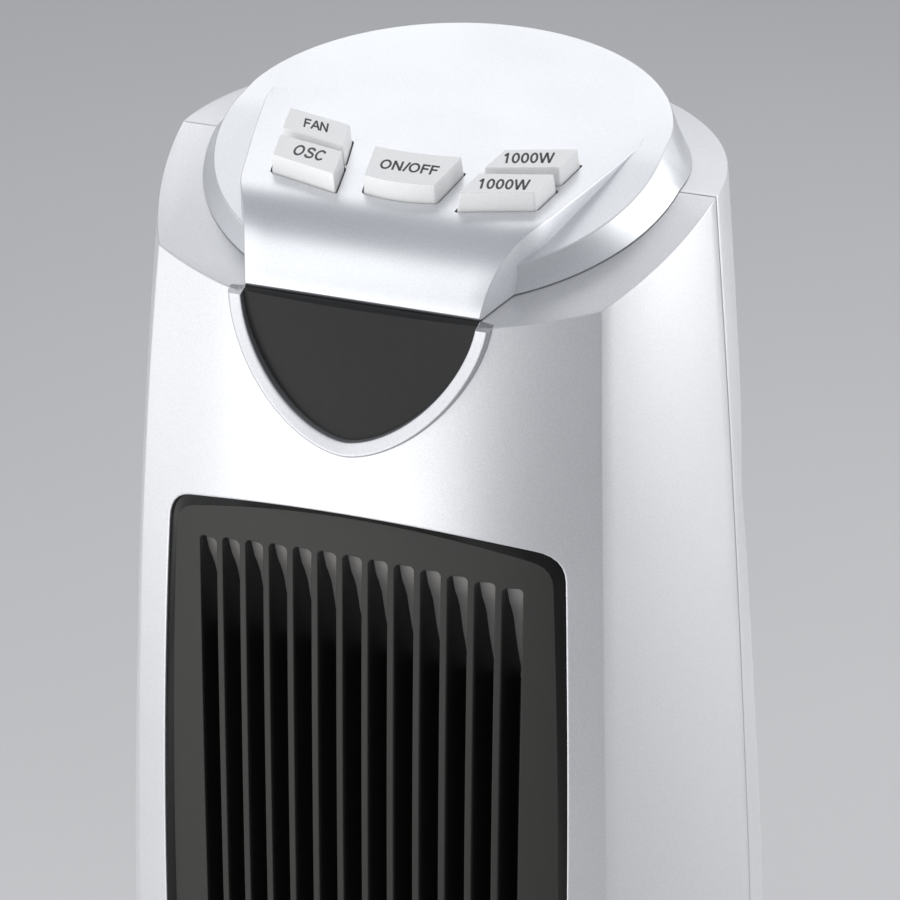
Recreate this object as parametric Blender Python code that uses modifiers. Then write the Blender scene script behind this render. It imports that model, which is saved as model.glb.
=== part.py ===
"""Oscillating tower fan heater on a round base, modelled as separate parts.

Metres, +Z up. The origin is on the floor at the centre of the base, and the front looks along -Y.
"""

import math

import bmesh
import bpy
import numpy as np
from mathutils import Matrix, Vector

MM = 0.001

# Driving dimensions of the base
BASE_RADIUS = 120 * MM
BASE_TOP = 64 * MM
BASE_WALL = 2.8 * MM
BASE_FOOT = 4 * MM
TURN_GAP = 3 * MM

# Driving dimensions of the tower
SHOULDER_HEIGHT = 560 * MM
BODY_BOTTOM = BASE_TOP + TURN_GAP
BODY_HALF_WIDTH = 106.2 * MM
SIDE_INSET = 27.4 * MM
CREASE_HALF_WIDTH = BODY_HALF_WIDTH - SIDE_INSET
CREASE_DEPTH = 71 * MM
REAR_DEPTH = 105 * MM
FRONT_RADIUS = 125 * MM
SIDE_BULGE = 3.1 * MM
WALL = 2.5 * MM
FRONT_TILT = math.radians(12.63)
REAR_FALL = math.radians(2.3)
DECK_TILT = math.radians(4.4)

# Clearances
SEAT_GAP = 0.3 * MM
SLIDE_GAP = 0.45 * MM
OVERRUN = 6 * MM

# Section sizes down the tower, as (share of its height, share of the full size)
SEAM_WIDTH_SHARES = [
    (0.0, 0.798), (0.1, 0.840), (0.2, 0.879), (0.3, 0.915), (0.4, 0.948), (0.5, 0.978),
    (0.6, 0.994), (0.7, 1.0), (0.8, 0.992), (0.9, 0.972), (1.0, 0.940),
]
CREASE_WIDTH_SHARES = [
    (0.0, 0.854), (0.1, 0.891), (0.2, 0.923), (0.3, 0.949), (0.4, 0.971), (0.5, 0.985),
    (0.6, 0.995), (0.7, 1.0), (0.8, 0.995), (0.9, 0.980), (1.0, 0.954),
]
CREASE_DEPTH_SHARES = [
    (0.0, 0.807), (0.1, 0.894), (0.2, 0.949), (0.3, 0.980), (0.4, 0.994), (0.5, 1.0),
    (0.6, 1.0), (0.7, 0.994), (0.8, 0.980), (0.9, 0.958), (1.0, 0.927),
]
REAR_DEPTH_SHARES = [
    (0.0, 0.819), (0.1, 0.829), (0.15, 0.817), (0.18, 0.776), (0.21, 0.695), (0.25, 0.757),
    (0.3, 0.800), (0.4, 0.880), (0.5, 0.955), (0.6, 0.990), (0.7, 1.0), (0.8, 0.990),
    (0.9, 0.962), (1.0, 0.924),
]
FRONT_LEVEL_SHARES = [0.0, 0.05, 0.1, 0.2, 0.3, 0.4, 0.55, 0.7, 0.85, 1.0]
REAR_LEVEL_SHARES = [0.0, 0.08, 0.14, 0.175, 0.195, 0.21, 0.23, 0.26, 0.3, 0.4, 0.5, 0.6, 0.7, 0.85, 1.0]
RAISED_SHARE = -0.02

# Steps round the curves
SIDE_STEPS = 3
FRONT_STEPS = 13
REAR_STEPS = 18
ROUND_STEPS = 32
BIG_ROUND_STEPS = 48
SMALL_ROUND_STEPS = 16

# Control cap
CAP_CENTRE_Y = 2.7 * MM
CAP_MARGIN = 11.35 * MM
CAP_FLARE = 6.3 * MM
CAP_BASE_RADIUS = BODY_HALF_WIDTH * SEAM_WIDTH_SHARES[0][1] - CAP_MARGIN
DECK_RADIUS = CAP_BASE_RADIUS - CAP_FLARE
DECK_CENTRE_Y = 4.5 * MM
DECK_RISE = 9.69 * MM
SHELF_FLARE = 5.9 * MM
SHELF_RADIUS = CAP_BASE_RADIUS - SHELF_FLARE
SHELF_CENTRE_Y = -4.0 * MM
SHELF_HEIGHT = 9.0 * MM
CAP_WALL = 2.4 * MM
WALL_COVE = 1.2 * MM
CAP_SEAT_WIDTH = 7.4 * MM
SHOULDER_HOLE_RADIUS = CAP_BASE_RADIUS - CAP_SEAT_WIDTH
TONGUE_OVERHANG = 0.6 * MM
TONGUE_FOOT_Y = CAP_CENTRE_Y - CAP_BASE_RADIUS - TONGUE_OVERHANG
FALL_DEPTH = 25.7 * MM
FALL_START_Y = TONGUE_FOOT_Y + FALL_DEPTH
FALL_TURN = math.radians(70)
TONGUE_TIP_Y = 5.5 * MM
TONGUE_TIP_INSET = 14.2 * MM
TONGUE_TIP_HALF = CAP_BASE_RADIUS - TONGUE_TIP_INSET
TONGUE_WIDTH_SHARES = [(0.0, 0.608), (0.17, 0.70), (0.29, 0.775), (0.52, 0.857), (0.7, 0.915), (1.0, 1.0)]
FALL_STEPS = 12
CAP_STEPS = 56
CAP_POST_RADIUS = 2.6 * MM
CAP_POST_SHARES = [(-0.76, -0.08), (0.76, -0.08), (0, -0.24)]

# Keys, as shares of the key field in the plane of the deck: x outward, y towards the rear
KEY_FIELD_INSET = 17.1 * MM
KEY_FIELD = DECK_RADIUS - KEY_FIELD_INSET
KEY_PROUD = 5.8 * MM
KEY_TRAVEL = 1.5 * MM
KEY_DRAFT = 0.5 * MM
KEY_HOLE_GAP = 0.4 * MM
KEY_LIP = 0.9 * MM
KEY_LIP_HEIGHT = 1.4 * MM
KEY_STEM_SHARE = 0.18
KEY_STEM_GAP = 0.3 * MM
REAR_KEY_SHARES = [(0.907, -0.23), (0.49, -0.348), (0.439, -0.62), (0.861, -0.49)]
FRONT_KEY_SHARES = [(0.848, -0.572), (0.42, -0.676), (0.382, -0.938), (0.808, -0.814)]
POWER_KEY_SHARES = [
    (0.266, -0.536), (0, -0.552), (-0.266, -0.536), (-0.218, -0.894), (-0.112, -0.924), (0, -0.934),
    (0.112, -0.924), (0.218, -0.894),
]

# Display window and its raised rim
WINDOW_HALF_WIDTH = 36 * MM
WINDOW_DROP = 38.6 * MM
WINDOW_TOP_DROP = 14.9 * MM
WINDOW_POWER = 1.68
RIM_ROOT_DEPTH = 5.66 * MM
WINDOW_CUT_DEPTH = 13.66 * MM
RIM_WIDTH = 4.4 * MM
RIM_PROUD = 2.0 * MM
LENS_RECESS = 1.2 * MM
LENS_FLATTENING = 4.3 * MM
LENS_THICKNESS = 2.2 * MM
LENS_LEDGE_DEPTH = 7.66 * MM
LENS_LEDGE_INSET = 1.5 * MM
LENS_COLUMNS = 8
WINDOW_STEPS = 20
WINDOW_TIP_SHARE = 0.03

# Air outlet and its grille
OUTLET_TOP_DROP = 75.2 * MM
OUTLET_SILL = 79 * MM
OUTLET_TOP = SHOULDER_HEIGHT - OUTLET_TOP_DROP
OUTLET_BOTTOM = BODY_BOTTOM + OUTLET_SILL
OUTLET_ARCH = 12.6 * MM
OUTLET_SIDE = 12.5 * MM
OUTLET_NARROWING = 4 * MM
OUTLET_HALF_WIDTH = CREASE_HALF_WIDTH - OUTLET_SIDE
OUTLET_TOP_HALF_WIDTH = OUTLET_HALF_WIDTH - OUTLET_NARROWING
OUTLET_CORNER = 8 * MM
GRILLE_RADIUS = 206 * MM
GRILLE_CREST_Y = -87.6 * MM
GRILLE_TOP_Y = -83.5 * MM
GRILLE_CREST_SHARE = 0.52
GRILLE_THICKNESS = 4.5 * MM
GRILLE_SIDE_RIM = 2.8 * MM
GRILLE_END_RIM = 6.5 * MM
GRILLE_RIM_RECESS = 1.0 * MM
ARCH_STEPS = 8
SLOT_PITCH = 8.17 * MM
SLOT_WIDTH = 6.54 * MM
SLOT_SIDE_MARGIN = 12.5 * MM
SLOT_PAIRS = int((OUTLET_TOP_HALF_WIDTH - SLOT_SIDE_MARGIN) / SLOT_PITCH)
SLOT_COUNT = 2 * SLOT_PAIRS + 1
SLOT_END_MARGIN = 17 * MM
SLOT_TOP = OUTLET_TOP - SLOT_END_MARGIN
SLOT_BOTTOM = OUTLET_BOTTOM + SLOT_END_MARGIN
SLOT_ARCH = 5 * MM
SLOT_END_STEPS = 5

# Air intake at the rear
INTAKE_TOP_DROP = 156 * MM
INTAKE_SILL = 83 * MM
INTAKE_TOP = SHOULDER_HEIGHT - INTAKE_TOP_DROP
INTAKE_BOTTOM = BODY_BOTTOM + INTAKE_SILL
INTAKE_SIDE = 46.2 * MM
INTAKE_HALF_WIDTH = BODY_HALF_WIDTH - INTAKE_SIDE
INTAKE_CUT_Y = 30 * MM
INTAKE_CORNER = 10 * MM
INTAKE_THICKNESS = 2.0 * MM
INTAKE_RECESS = 0.6 * MM
INTAKE_ROWS = 16
INTAKE_SLOT_HEIGHT = 7 * MM
INTAKE_EDGE = 10 * MM
INTAKE_SLOT_GAP = 5 * MM
FILTER_THICKNESS = 2.5 * MM
FILTER_EDGE = 5 * MM

# Air duct round the blower
DUCT_TOP_DROP = 96 * MM
DUCT_SILL = 73 * MM
DUCT_HIGH = SHOULDER_HEIGHT - DUCT_TOP_DROP
DUCT_LOW = BODY_BOTTOM + DUCT_SILL
DUCT_PLATE = 2.5 * MM
DUCT_WALL = 1.6 * MM
DUCT_SIDE = 46.2 * MM
DUCT_HALF_WIDTH = BODY_HALF_WIDTH - DUCT_SIDE
DUCT_MOUTH_Y = -62 * MM
SCROLL_START = math.radians(75)
SCROLL_END = math.radians(-15)
SCROLL_GAP = 4 * MM
SCROLL_GROWTH = 18 * MM
SCROLL_STEPS = 9
CUTOFF_GAP = 3.5 * MM
CUTOFF_ANGLE = math.radians(178)
CUTOFF_SHARES = [(0.25, 0.20), (0.85, 0.35), (1.0, 0.6), (1.0, 1.0)]

# Blower, standing upright in the duct
WHEEL_Y = 22 * MM
WHEEL_RADIUS = 38 * MM
WHEEL_END_GAP = 6 * MM
WHEEL_BOTTOM = DUCT_LOW + DUCT_PLATE + WHEEL_END_GAP
WHEEL_TOP = DUCT_HIGH - WHEEL_END_GAP
BLADE_COUNT = 18
BLADE_DEPTH = 10 * MM
BLADE_THICKNESS = 1.3 * MM
BLADE_LEAN = math.radians(28)
DISC_THICKNESS = 3 * MM
SHAFT_RADIUS = 3 * MM
SHAFT_DEPTH = 44 * MM
SHAFT_BOTTOM = DUCT_LOW - SHAFT_DEPTH
SHAFT_GAP = 0.35 * MM
MOTOR_RADIUS = 31 * MM
MOTOR_HEIGHT = 50 * MM
MOTOR_BOTTOM = DUCT_LOW - MOTOR_HEIGHT
BEARING_RADIUS = 9 * MM
BEARING_HEIGHT = 8 * MM

# Ceramic heater
HEATER_FRONT_Y = -58 * MM
HEATER_DEPTH = 12 * MM
HEATER_SIDE_GAP = 4 * MM
HEATER_HALF_WIDTH = DUCT_HALF_WIDTH - HEATER_SIDE_GAP
HEATER_HOLDER = 8 * MM
HEATER_RIBS = 14
HEATER_GROOVE_DEPTH = 3 * MM
HEATER_BAR_SHARE = 0.32
CUTOUT_RADIUS = 7 * MM
CUTOUT_HEIGHT = 6 * MM
CUTOUT_X = 30 * MM

# Boards
BOARD = 1.6 * MM
CONTROL_BOARD_DROP = 16 * MM
CONTROL_BOARD_WIDTH_SHARE = 0.84
CONTROL_BOARD_DEPTH_SHARE = 0.88
SWITCH_HALF = 4 * MM
SWITCH_HEIGHT = 7 * MM
DISPLAY_HALF_WIDTH = 24 * MM
DISPLAY_DROP = 19.5 * MM
DISPLAY_HEIGHT = 19.5 * MM
DISPLAY_TOP = SHOULDER_HEIGHT - DISPLAY_DROP
DISPLAY_BOTTOM = DISPLAY_TOP - DISPLAY_HEIGHT
DISPLAY_DEPTH = 6.4 * MM

# Turntable, gear and pinion
WELL_DEPTH = 8 * MM
WELL_FLOOR = BASE_TOP - WELL_DEPTH
WELL_RADIUS = 90 * MM
LIP_RADIUS = 104 * MM
FLOOR_THICKNESS = 3 * MM
HUB_RADIUS = 22 * MM
HUB_BORE_RADIUS = 17 * MM
HUB_DROP = 20 * MM
HUB_BOTTOM = BODY_BOTTOM - HUB_DROP
HUB_GAP = 0.4 * MM
RETAINER_RADIUS = 32 * MM
RETAINER_HEIGHT = 3.5 * MM
RING_INNER = 78 * MM
RING_OUTER = 86 * MM
GEAR_MODULE = 1.25 * MM
GEAR_TEETH = 64
PINION_TEETH = 16
GEAR_SECTOR_TEETH = 19
GEAR_BORE_RADIUS = 27 * MM
GEAR_THICKNESS = 4.5 * MM
GEAR_BACKLASH = 0.35 * MM
GEAR_PRESSURE = math.radians(20)
ADDENDUM_SHARE = 0.9
DEDENDUM_SHARE = 1.25
PINION_LIFT = 1.0 * MM
PINION_SHAFT_RADIUS = 2.5 * MM
OSC_MOTOR_RADIUS = 24 * MM
OSC_MOTOR_HEIGHT = 16 * MM

# Base
BASE_SHARES = [(0.925, 0.915), (0.965, 0.74), (0.99, 0.48), (1.0, 0.17)]
PLATE_THICKNESS = 3 * MM
BALLAST_RADIUS = 54 * MM
BALLAST_BORE = 16 * MM
BALLAST_HEIGHT = 12 * MM
FOOT_CIRCLE = 98 * MM
FOOT_RADIUS = 9 * MM
BASE_BOSS_CIRCLE = 76 * MM
BASE_BOSS_RADIUS = 4.5 * MM
SCREW_RADIUS = 1.6 * MM
SCREW_HEAD_RADIUS = 3.4 * MM
SCREW_HEAD_HEIGHT = 1.5 * MM
SCREW_LENGTH = 10 * MM
SCREW_GAP = 0.35 * MM
PLUNGER_CIRCLE = 66 * MM
PLUNGER_RADIUS = 4 * MM
PLUNGER_LIP = 1.6 * MM
PLUNGER_HEIGHT = 22 * MM
PLUNGER_TRAVEL = 6 * MM
TIP_SWITCH_HALF = 7 * MM
GLAND_HEIGHT = 22 * MM
GLAND_RADIUS = 6.6 * MM
GLAND_BORE = 3.7 * MM
GLAND_FLANGE_RADIUS = 9 * MM
GLAND_LENGTH = 13 * MM
GLAND_INSET = 0.6 * MM

# Screws that hold the two shells together
SHELL_SCREW_INSET = 34.2 * MM
SHELL_SCREW_SILL = 33 * MM
SHELL_SCREW_DROP = 68 * MM
SHELL_SCREW_X = BODY_HALF_WIDTH - SHELL_SCREW_INSET
SHELL_SCREW_HEIGHTS = [BODY_BOTTOM + SHELL_SCREW_SILL, SHOULDER_HEIGHT - SHELL_SCREW_DROP]
POST_RADIUS = 5.5 * MM
POST_END_Y = 10 * MM
COUNTERBORE_RADIUS = 3.9 * MM
COUNTERBORE_FLOOR_Y = 14 * MM
FRONT_POST_RADIUS = 4.5 * MM
SHELL_SCREW_LENGTH = 22 * MM


def clear_scene():
    """Removes every object of the startup scene."""
    for obj in list(bpy.data.objects):
        bpy.data.objects.remove(obj, do_unlink=True)


def make_collections():
    """The collection of the parts, and the one of the cutters."""
    made = []
    for name in ("tower_heater", "cutters"):
        collection = bpy.data.collections.new(name)
        bpy.context.scene.collection.children.link(collection)
        made.append(collection)
    return made


clear_scene()
PARTS, CUTTERS = make_collections()


# Materials


def plastic(name, colour, roughness, metallic=0.0):
    """A Principled material of one colour."""
    material = bpy.data.materials.new(name)
    material.use_nodes = True
    shader = material.node_tree.nodes["Principled BSDF"]
    shader.inputs["Base Color"].default_value = (*colour, 1)
    shader.inputs["Roughness"].default_value = roughness
    shader.inputs["Metallic"].default_value = metallic
    return material


SILVER = plastic("silver_plastic", (0.74, 0.75, 0.77), 0.35)
KEY_GREY = plastic("key_plastic", (0.72, 0.72, 0.71), 0.45)
CHARCOAL = plastic("charcoal_plastic", (0.09, 0.09, 0.085), 0.4)
LENS_BLACK = plastic("smoked_window", (0.03, 0.03, 0.03), 0.15)
BLACK = plastic("black_plastic", (0.02, 0.02, 0.022), 0.5)
RUBBER = plastic("rubber", (0.03, 0.03, 0.03), 0.8)
STEEL = plastic("steel", (0.6, 0.6, 0.6), 0.3, 1.0)
ALUMINIUM = plastic("aluminium", (0.7, 0.7, 0.72), 0.35, 1.0)
BOARD_GREEN = plastic("board", (0.03, 0.16, 0.08), 0.5)
WHITE_NYLON = plastic("white_nylon", (0.8, 0.8, 0.76), 0.5)
FILTER_GREY = plastic("filter_foam", (0.12, 0.12, 0.12), 0.9)
CERAMIC = plastic("ceramic", (0.75, 0.72, 0.66), 0.6)


# Modelling helpers


def finish(name, bm, material=None, angle=math.radians(35)):
    """Turns a bmesh into an object of the parts, or of the cutters when it has no material."""
    bmesh.ops.recalc_face_normals(bm, faces=bm.faces)
    mesh = bpy.data.meshes.new(name)
    bm.to_mesh(mesh)
    bm.free()
    mesh.shade_smooth()
    mesh.set_sharp_from_angle(angle=angle)
    return place(name, mesh, material)


def place(name, mesh, material=None):
    """Links a mesh as an object, hidden in renders when it is a cutter."""
    obj = bpy.data.objects.new(name, mesh)
    if material is None:
        CUTTERS.objects.link(obj)
        obj.hide_render = True
        obj.display_type = "WIRE"
    else:
        PARTS.objects.link(obj)
        mesh.materials.append(material)
    return obj


def loft(name, rings, material=None):
    """A closed solid through rings of points, all of one count, with flat ends."""
    bm = bmesh.new()
    rows = [[bm.verts.new(point) for point in ring] for ring in rings]
    count = len(rings[0])
    for row, after in zip(rows, rows[1:]):
        for i in range(count):
            j = (i + 1) % count
            bm.faces.new((row[i], row[j], after[j], after[i]))
    bm.faces.new(rows[0])
    bm.faces.new(rows[-1])
    bmesh.ops.triangulate(bm, faces=[face for face in bm.faces if len(face.verts) == 4])
    return finish(name, bm, material)


def sheet(name, rows, thickness, material=None, facing=-1):
    """An open grid of points with a Solidify modifier, facing the front (-1) or the rear (+1)."""
    bm = bmesh.new()
    grid = [[bm.verts.new(point) for point in row] for row in rows]
    for row, after in zip(grid, grid[1:]):
        for i in range(len(row) - 1):
            bm.faces.new((row[i], row[i + 1], after[i + 1], after[i]))
    bmesh.ops.triangulate(bm, faces=bm.faces)
    bmesh.ops.recalc_face_normals(bm, faces=bm.faces)
    bm.normal_update()
    turned_away = sum(face.normal.y for face in bm.faces) * facing < 0
    obj = finish(name, bm, material)
    modifier = obj.modifiers.new("thickness", "SOLIDIFY")
    modifier.thickness = thickness
    modifier.offset = 1.0 if turned_away else -1.0
    modifier.use_even_offset = True
    return obj


def prism(name, outline, low, high, material=None, turn=None):
    """A flat outline drawn as a filled 2D curve, raised from low to high along its normal."""
    curve = bpy.data.curves.new(name, "CURVE")
    curve.dimensions = "2D"
    curve.fill_mode = "BOTH"
    curve.extrude = (high - low) / 2
    spline = curve.splines.new("POLY")
    spline.points.add(len(outline) - 1)
    for point, (x, y) in zip(spline.points, outline):
        point.co = (x, y, 0, 1)
    spline.use_cyclic_u = True
    drawn = bpy.data.objects.new(name, curve)
    CUTTERS.objects.link(drawn)
    bpy.context.view_layer.update()
    graph = bpy.context.evaluated_depsgraph_get()
    mesh = bpy.data.meshes.new_from_object(drawn.evaluated_get(graph))
    bpy.data.objects.remove(drawn, do_unlink=True)
    bm = bmesh.new()
    bm.from_mesh(mesh)
    bmesh.ops.remove_doubles(bm, verts=bm.verts, dist=SEAT_GAP / 100)
    bmesh.ops.translate(bm, verts=bm.verts, vec=(0, 0, (low + high) / 2))
    if turn is not None:
        bmesh.ops.transform(bm, matrix=turn, verts=bm.verts)
    mesh.materials.clear()
    return finish(name, bm, material)


def front_prism(name, outline, front_y, rear_y, material=None):
    """A prism whose outline is drawn in x and z, reaching along Y."""
    turn = Matrix.Rotation(math.pi / 2, 4, "X")
    return prism(name, outline, -rear_y, -front_y, material, turn)


def cylinder(name, radius, start, end, material=None, steps=ROUND_STEPS):
    """A solid cylinder between two points."""
    start, end = Vector(start), Vector(end)
    along = end - start
    bm = bmesh.new()
    bmesh.ops.create_cone(
        bm, cap_ends=True, segments=steps, radius1=radius, radius2=radius, depth=along.length,
    )
    turn = along.to_track_quat("Z", "Y").to_matrix().to_4x4()
    move = Matrix.Translation((start + end) / 2)
    bmesh.ops.transform(bm, matrix=move @ turn, verts=bm.verts)
    return finish(name, bm, material)


def box(name, low, high, material=None):
    """A box between two corners."""
    low, high = Vector(low), Vector(high)
    size = high - low
    bm = bmesh.new()
    bmesh.ops.create_cube(bm, size=1)
    bmesh.ops.scale(bm, vec=size, verts=bm.verts)
    bmesh.ops.translate(bm, vec=(low + high) / 2, verts=bm.verts)
    return finish(name, bm, material)


def turned(name, profile, material=None, steps=ROUND_STEPS, centre=(0, 0)):
    """A closed (radius, height) profile turned about a vertical axis with a Screw modifier."""
    mesh = bpy.data.meshes.new(name)
    points = [(radius, 0, height) for radius, height in profile]
    count = len(points)
    on_axis = profile[0][0] == 0 and profile[-1][0] == 0
    sides = count - 1 if on_axis else count
    mesh.from_pydata(points, [(i, (i + 1) % count) for i in range(sides)], [])
    obj = place(name, mesh, material)
    obj.location = (*centre, 0)
    screw = obj.modifiers.new("turn", "SCREW")
    screw.steps = steps
    screw.render_steps = steps
    screw.use_merge_vertices = True
    screw.merge_threshold = 0.00001
    screw.use_smooth_shade = True
    return obj


def ring(name, inner, outer, low, high, material=None, steps=ROUND_STEPS, centre=(0, 0)):
    """A flat ring or bush."""
    profile = [(inner, high), (outer, high), (outer, low), (inner, low)]
    return turned(name, profile, material, steps, centre)


def combine(target, tool, operation="DIFFERENCE"):
    """Cuts or joins with an exact Boolean."""
    modifier = target.modifiers.new(tool.name, "BOOLEAN")
    modifier.operation = operation
    modifier.solver = "EXACT"
    modifier.object = tool
    return target


def polar(radius, angle, centre=(0, 0)):
    """A point on a circle in plan."""
    return centre[0] + radius * math.cos(angle), centre[1] + radius * math.sin(angle)


def offset_path(points, distance, closed=False):
    """Moves an outline to its right by a distance, with mitred corners."""
    moved = []
    count = len(points)
    for i, point in enumerate(points):
        before = points[i - 1] if closed or i else None
        after = points[(i + 1) % count] if closed or i < count - 1 else None
        sides = []
        for start, end in ((before, point), (point, after)):
            if start is None or end is None:
                continue
            run = Vector((end[0] - start[0], end[1] - start[1])).normalized()
            sides.append(Vector((run.y, -run.x)))
        normal = sum(sides, Vector((0, 0))).normalized()
        reach = distance / normal.dot(sides[0])
        moved.append((point[0] + normal.x * reach, point[1] + normal.y * reach))
    return moved


def smooth_share(table, place_share):
    """The value of a table at a place, on a smooth curve through its rows."""
    places = [row[0] for row in table]
    values = [row[1] for row in table]
    slopes = np.gradient(values, places)
    i = int(np.searchsorted(places, place_share)) - 1
    i = min(max(i, 0), len(places) - 2)
    gap = places[i + 1] - places[i]
    t = min(max((place_share - places[i]) / gap, 0), 1)
    start = (1 + 2 * t) * (1 - t) ** 2 * values[i] + t * (1 - t) ** 2 * gap * slopes[i]
    end = t**2 * (3 - 2 * t) * values[i + 1] - t**2 * (1 - t) * gap * slopes[i + 1]
    return start + end


# The outer form of the tower


def place_down(z):
    """How far down the tower a height is, as a share of its length."""
    return (SHOULDER_HEIGHT - z) / (SHOULDER_HEIGHT - BODY_BOTTOM)


def seam_half_width(z):
    return BODY_HALF_WIDTH * smooth_share(SEAM_WIDTH_SHARES, place_down(z))


def crease(z):
    """The upright edge between the front face and a side."""
    share = place_down(z)
    half = CREASE_HALF_WIDTH * smooth_share(CREASE_WIDTH_SHARES, share)
    depth = CREASE_DEPTH * smooth_share(CREASE_DEPTH_SHARES, share)
    return half, depth


def front_y(x, z):
    """The bowed front face."""
    half, depth = crease(z)
    return -depth - math.sqrt(FRONT_RADIUS**2 - x**2) + math.sqrt(FRONT_RADIUS**2 - half**2)


def rear_y(x, z):
    """The rounded rear face."""
    depth = REAR_DEPTH * smooth_share(REAR_DEPTH_SHARES, place_down(z))
    return depth * math.sqrt(max(0, 1 - (x / seam_half_width(z)) ** 2))


def front_outline(z, inset=0.0, past_seam=0.0):
    """The front half's plan section, from the right seam round to the left one."""
    seam = seam_half_width(z)
    half, depth = crease(z)
    side = []
    chord = Vector((half - seam, -depth))
    outward = Vector((-chord.y, chord.x)).normalized()
    for i in range(SIDE_STEPS):
        t = i / SIDE_STEPS
        point = Vector((seam, -SEAT_GAP / 2)) + chord * t + outward * SIDE_BULGE * 4 * t * (1 - t)
        side.append(tuple(point))
    front = []
    for i in range(FRONT_STEPS + 1):
        x = half * (1 - 2 * i / FRONT_STEPS)
        front.append((x, front_y(x, z)))
    left = [(-x, y) for x, y in reversed(side)]
    points = offset_path(side + front + left, inset) if inset else side + front + left
    if past_seam:
        points = [(points[0][0], past_seam)] + points + [(points[-1][0], past_seam)]
    return points


def rear_outline(z, inset=0.0, past_seam=0.0):
    """The rear half's plan section, from the left seam round to the right one."""
    seam = seam_half_width(z)
    depth = REAR_DEPTH * smooth_share(REAR_DEPTH_SHARES, place_down(z))
    points = []
    for i in range(REAR_STEPS + 1):
        angle = math.pi - math.pi * i / REAR_STEPS
        points.append((seam * math.cos(angle), SEAT_GAP / 2 + depth * math.sin(angle)))
    points = offset_path(points, inset) if inset else points
    if past_seam:
        points = [(points[0][0], past_seam)] + points + [(points[-1][0], past_seam)]
    return points


def front_top(y):
    """The shoulder in front of the seam, which falls towards the front."""
    return SHOULDER_HEIGHT + y * math.tan(FRONT_TILT)


def rear_top(y):
    """The shoulder behind the seam, which falls a little towards the rear."""
    return SHOULDER_HEIGHT - y * math.tan(REAR_FALL)


def shell_rings(outline, top, shares, inset=0.0, past_seam=0.0, lower=0.0, bottom=BODY_BOTTOM):
    """Rings down a half of the tower, the first of them lying in the shoulder."""
    count = len(outline(SHOULDER_HEIGHT, inset, past_seam))
    rings = []
    for share in shares:
        points = []
        for j in range(count):
            z = SHOULDER_HEIGHT
            for _ in range(4):
                x, y = outline(z, inset, past_seam)[j]
                z = top(y) - lower + (bottom - top(y) + lower) * share
            points.append((x, y, z))
        rings.append(points)
    return rings


def shell(name, outline, top, shares, past_seam, material):
    """Half of the tower's casing, hollow, open at the seam and at the bottom."""
    outer = loft(name, shell_rings(outline, top, [RAISED_SHARE] + shares[1:]), material)
    hollow = shell_rings(
        outline, top, shares, WALL, past_seam, WALL, BODY_BOTTOM - OVERRUN,
    )
    return combine(outer, loft(name + "_hollow", hollow))


def shoulder_cutter(name, lift=0.0, above=True):
    """Everything above the two planes of the shoulder, or everything below them."""
    wide = BODY_HALF_WIDTH * 2
    far = BODY_HALF_WIDTH * 2
    end = SHOULDER_HEIGHT + (far if above else -far)
    profile = [(-far, front_top(-far) + lift), (0, SHOULDER_HEIGHT + lift), (far, rear_top(far) + lift)]
    profile += [(far, end), (-far, end)]
    return loft(name, [[(x, y, z) for y, z in profile] for x in (-wide, wide)])


# Outlines seen from the front


def window_side_y(depth):
    """How far back something lies that is a depth behind the face, at the window's upper corners."""
    return front_y(WINDOW_HALF_WIDTH, SHOULDER_HEIGHT) + depth


def window_outline(grow=0.0):
    """The window's outline below the shoulder, run up straight past it."""
    points = []
    half, drop = WINDOW_HALF_WIDTH + grow, WINDOW_DROP + grow
    top = SHOULDER_HEIGHT - WINDOW_TOP_DROP
    for i in range(WINDOW_STEPS + 1):
        angle = math.pi * i / WINDOW_STEPS
        across, down = math.cos(angle), math.sin(angle)
        x = half * math.copysign(abs(across) ** (2 / WINDOW_POWER), across)
        points.append((x, top - drop * abs(down) ** (2 / WINDOW_POWER)))
    high = SHOULDER_HEIGHT + OVERRUN * 2
    return [(half, high)] + points + [(-half, high)]


def rounded(corners, radius, steps=4):
    """A polygon with its corners rounded."""
    points = []
    count = len(corners)
    for i, corner in enumerate(corners):
        here = Vector(corner)
        back = (Vector(corners[i - 1]) - here).normalized()
        ahead = (Vector(corners[(i + 1) % count]) - here).normalized()
        for j in range(steps + 1):
            t = j / steps
            start, end = here + back * radius, here + ahead * radius
            point = start * (1 - t) ** 2 + here * 2 * t * (1 - t) + end * t**2
            points.append(tuple(point))
    return points


def outlet_end(x, top):
    """The height of the outlet's arched upper or lower end."""
    fall = OUTLET_ARCH * (x / OUTLET_HALF_WIDTH) ** 2
    return OUTLET_TOP - fall if top else OUTLET_BOTTOM + fall


def outlet_outline(inset=0.0):
    """The outlet's opening, a little wider at its middle and arched at both ends."""
    wide, narrow = OUTLET_HALF_WIDTH - inset, OUTLET_TOP_HALF_WIDTH - inset
    high, low = outlet_end(narrow, True) - inset, outlet_end(narrow, False) + inset
    middle = (high + low) / 2
    shoulder_x = narrow + (wide - narrow) * 3 / 4
    right = [(narrow, low), (shoulder_x, (middle + low) / 2), (wide, middle)]
    right += [(shoulder_x, (middle + high) / 2), (narrow, high)]
    left = [(-x, z) for x, z in reversed(right)]
    across = [narrow * (1 - 2 * i / ARCH_STEPS) for i in range(1, ARCH_STEPS)]
    upper = [(x, outlet_end(x, True) - inset) for x in across]
    lower = [(-x, outlet_end(x, False) + inset) for x in across]
    around = right + upper + left + lower
    points = []
    for i, corner in enumerate(around):
        if abs(abs(corner[0]) - narrow) > SEAT_GAP / 10:
            points.append(corner)
            continue
        near = [around[i - 1], corner, around[(i + 1) % len(around)]]
        points.extend(rounded(near, OUTLET_CORNER)[5:10])
    return points


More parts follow.
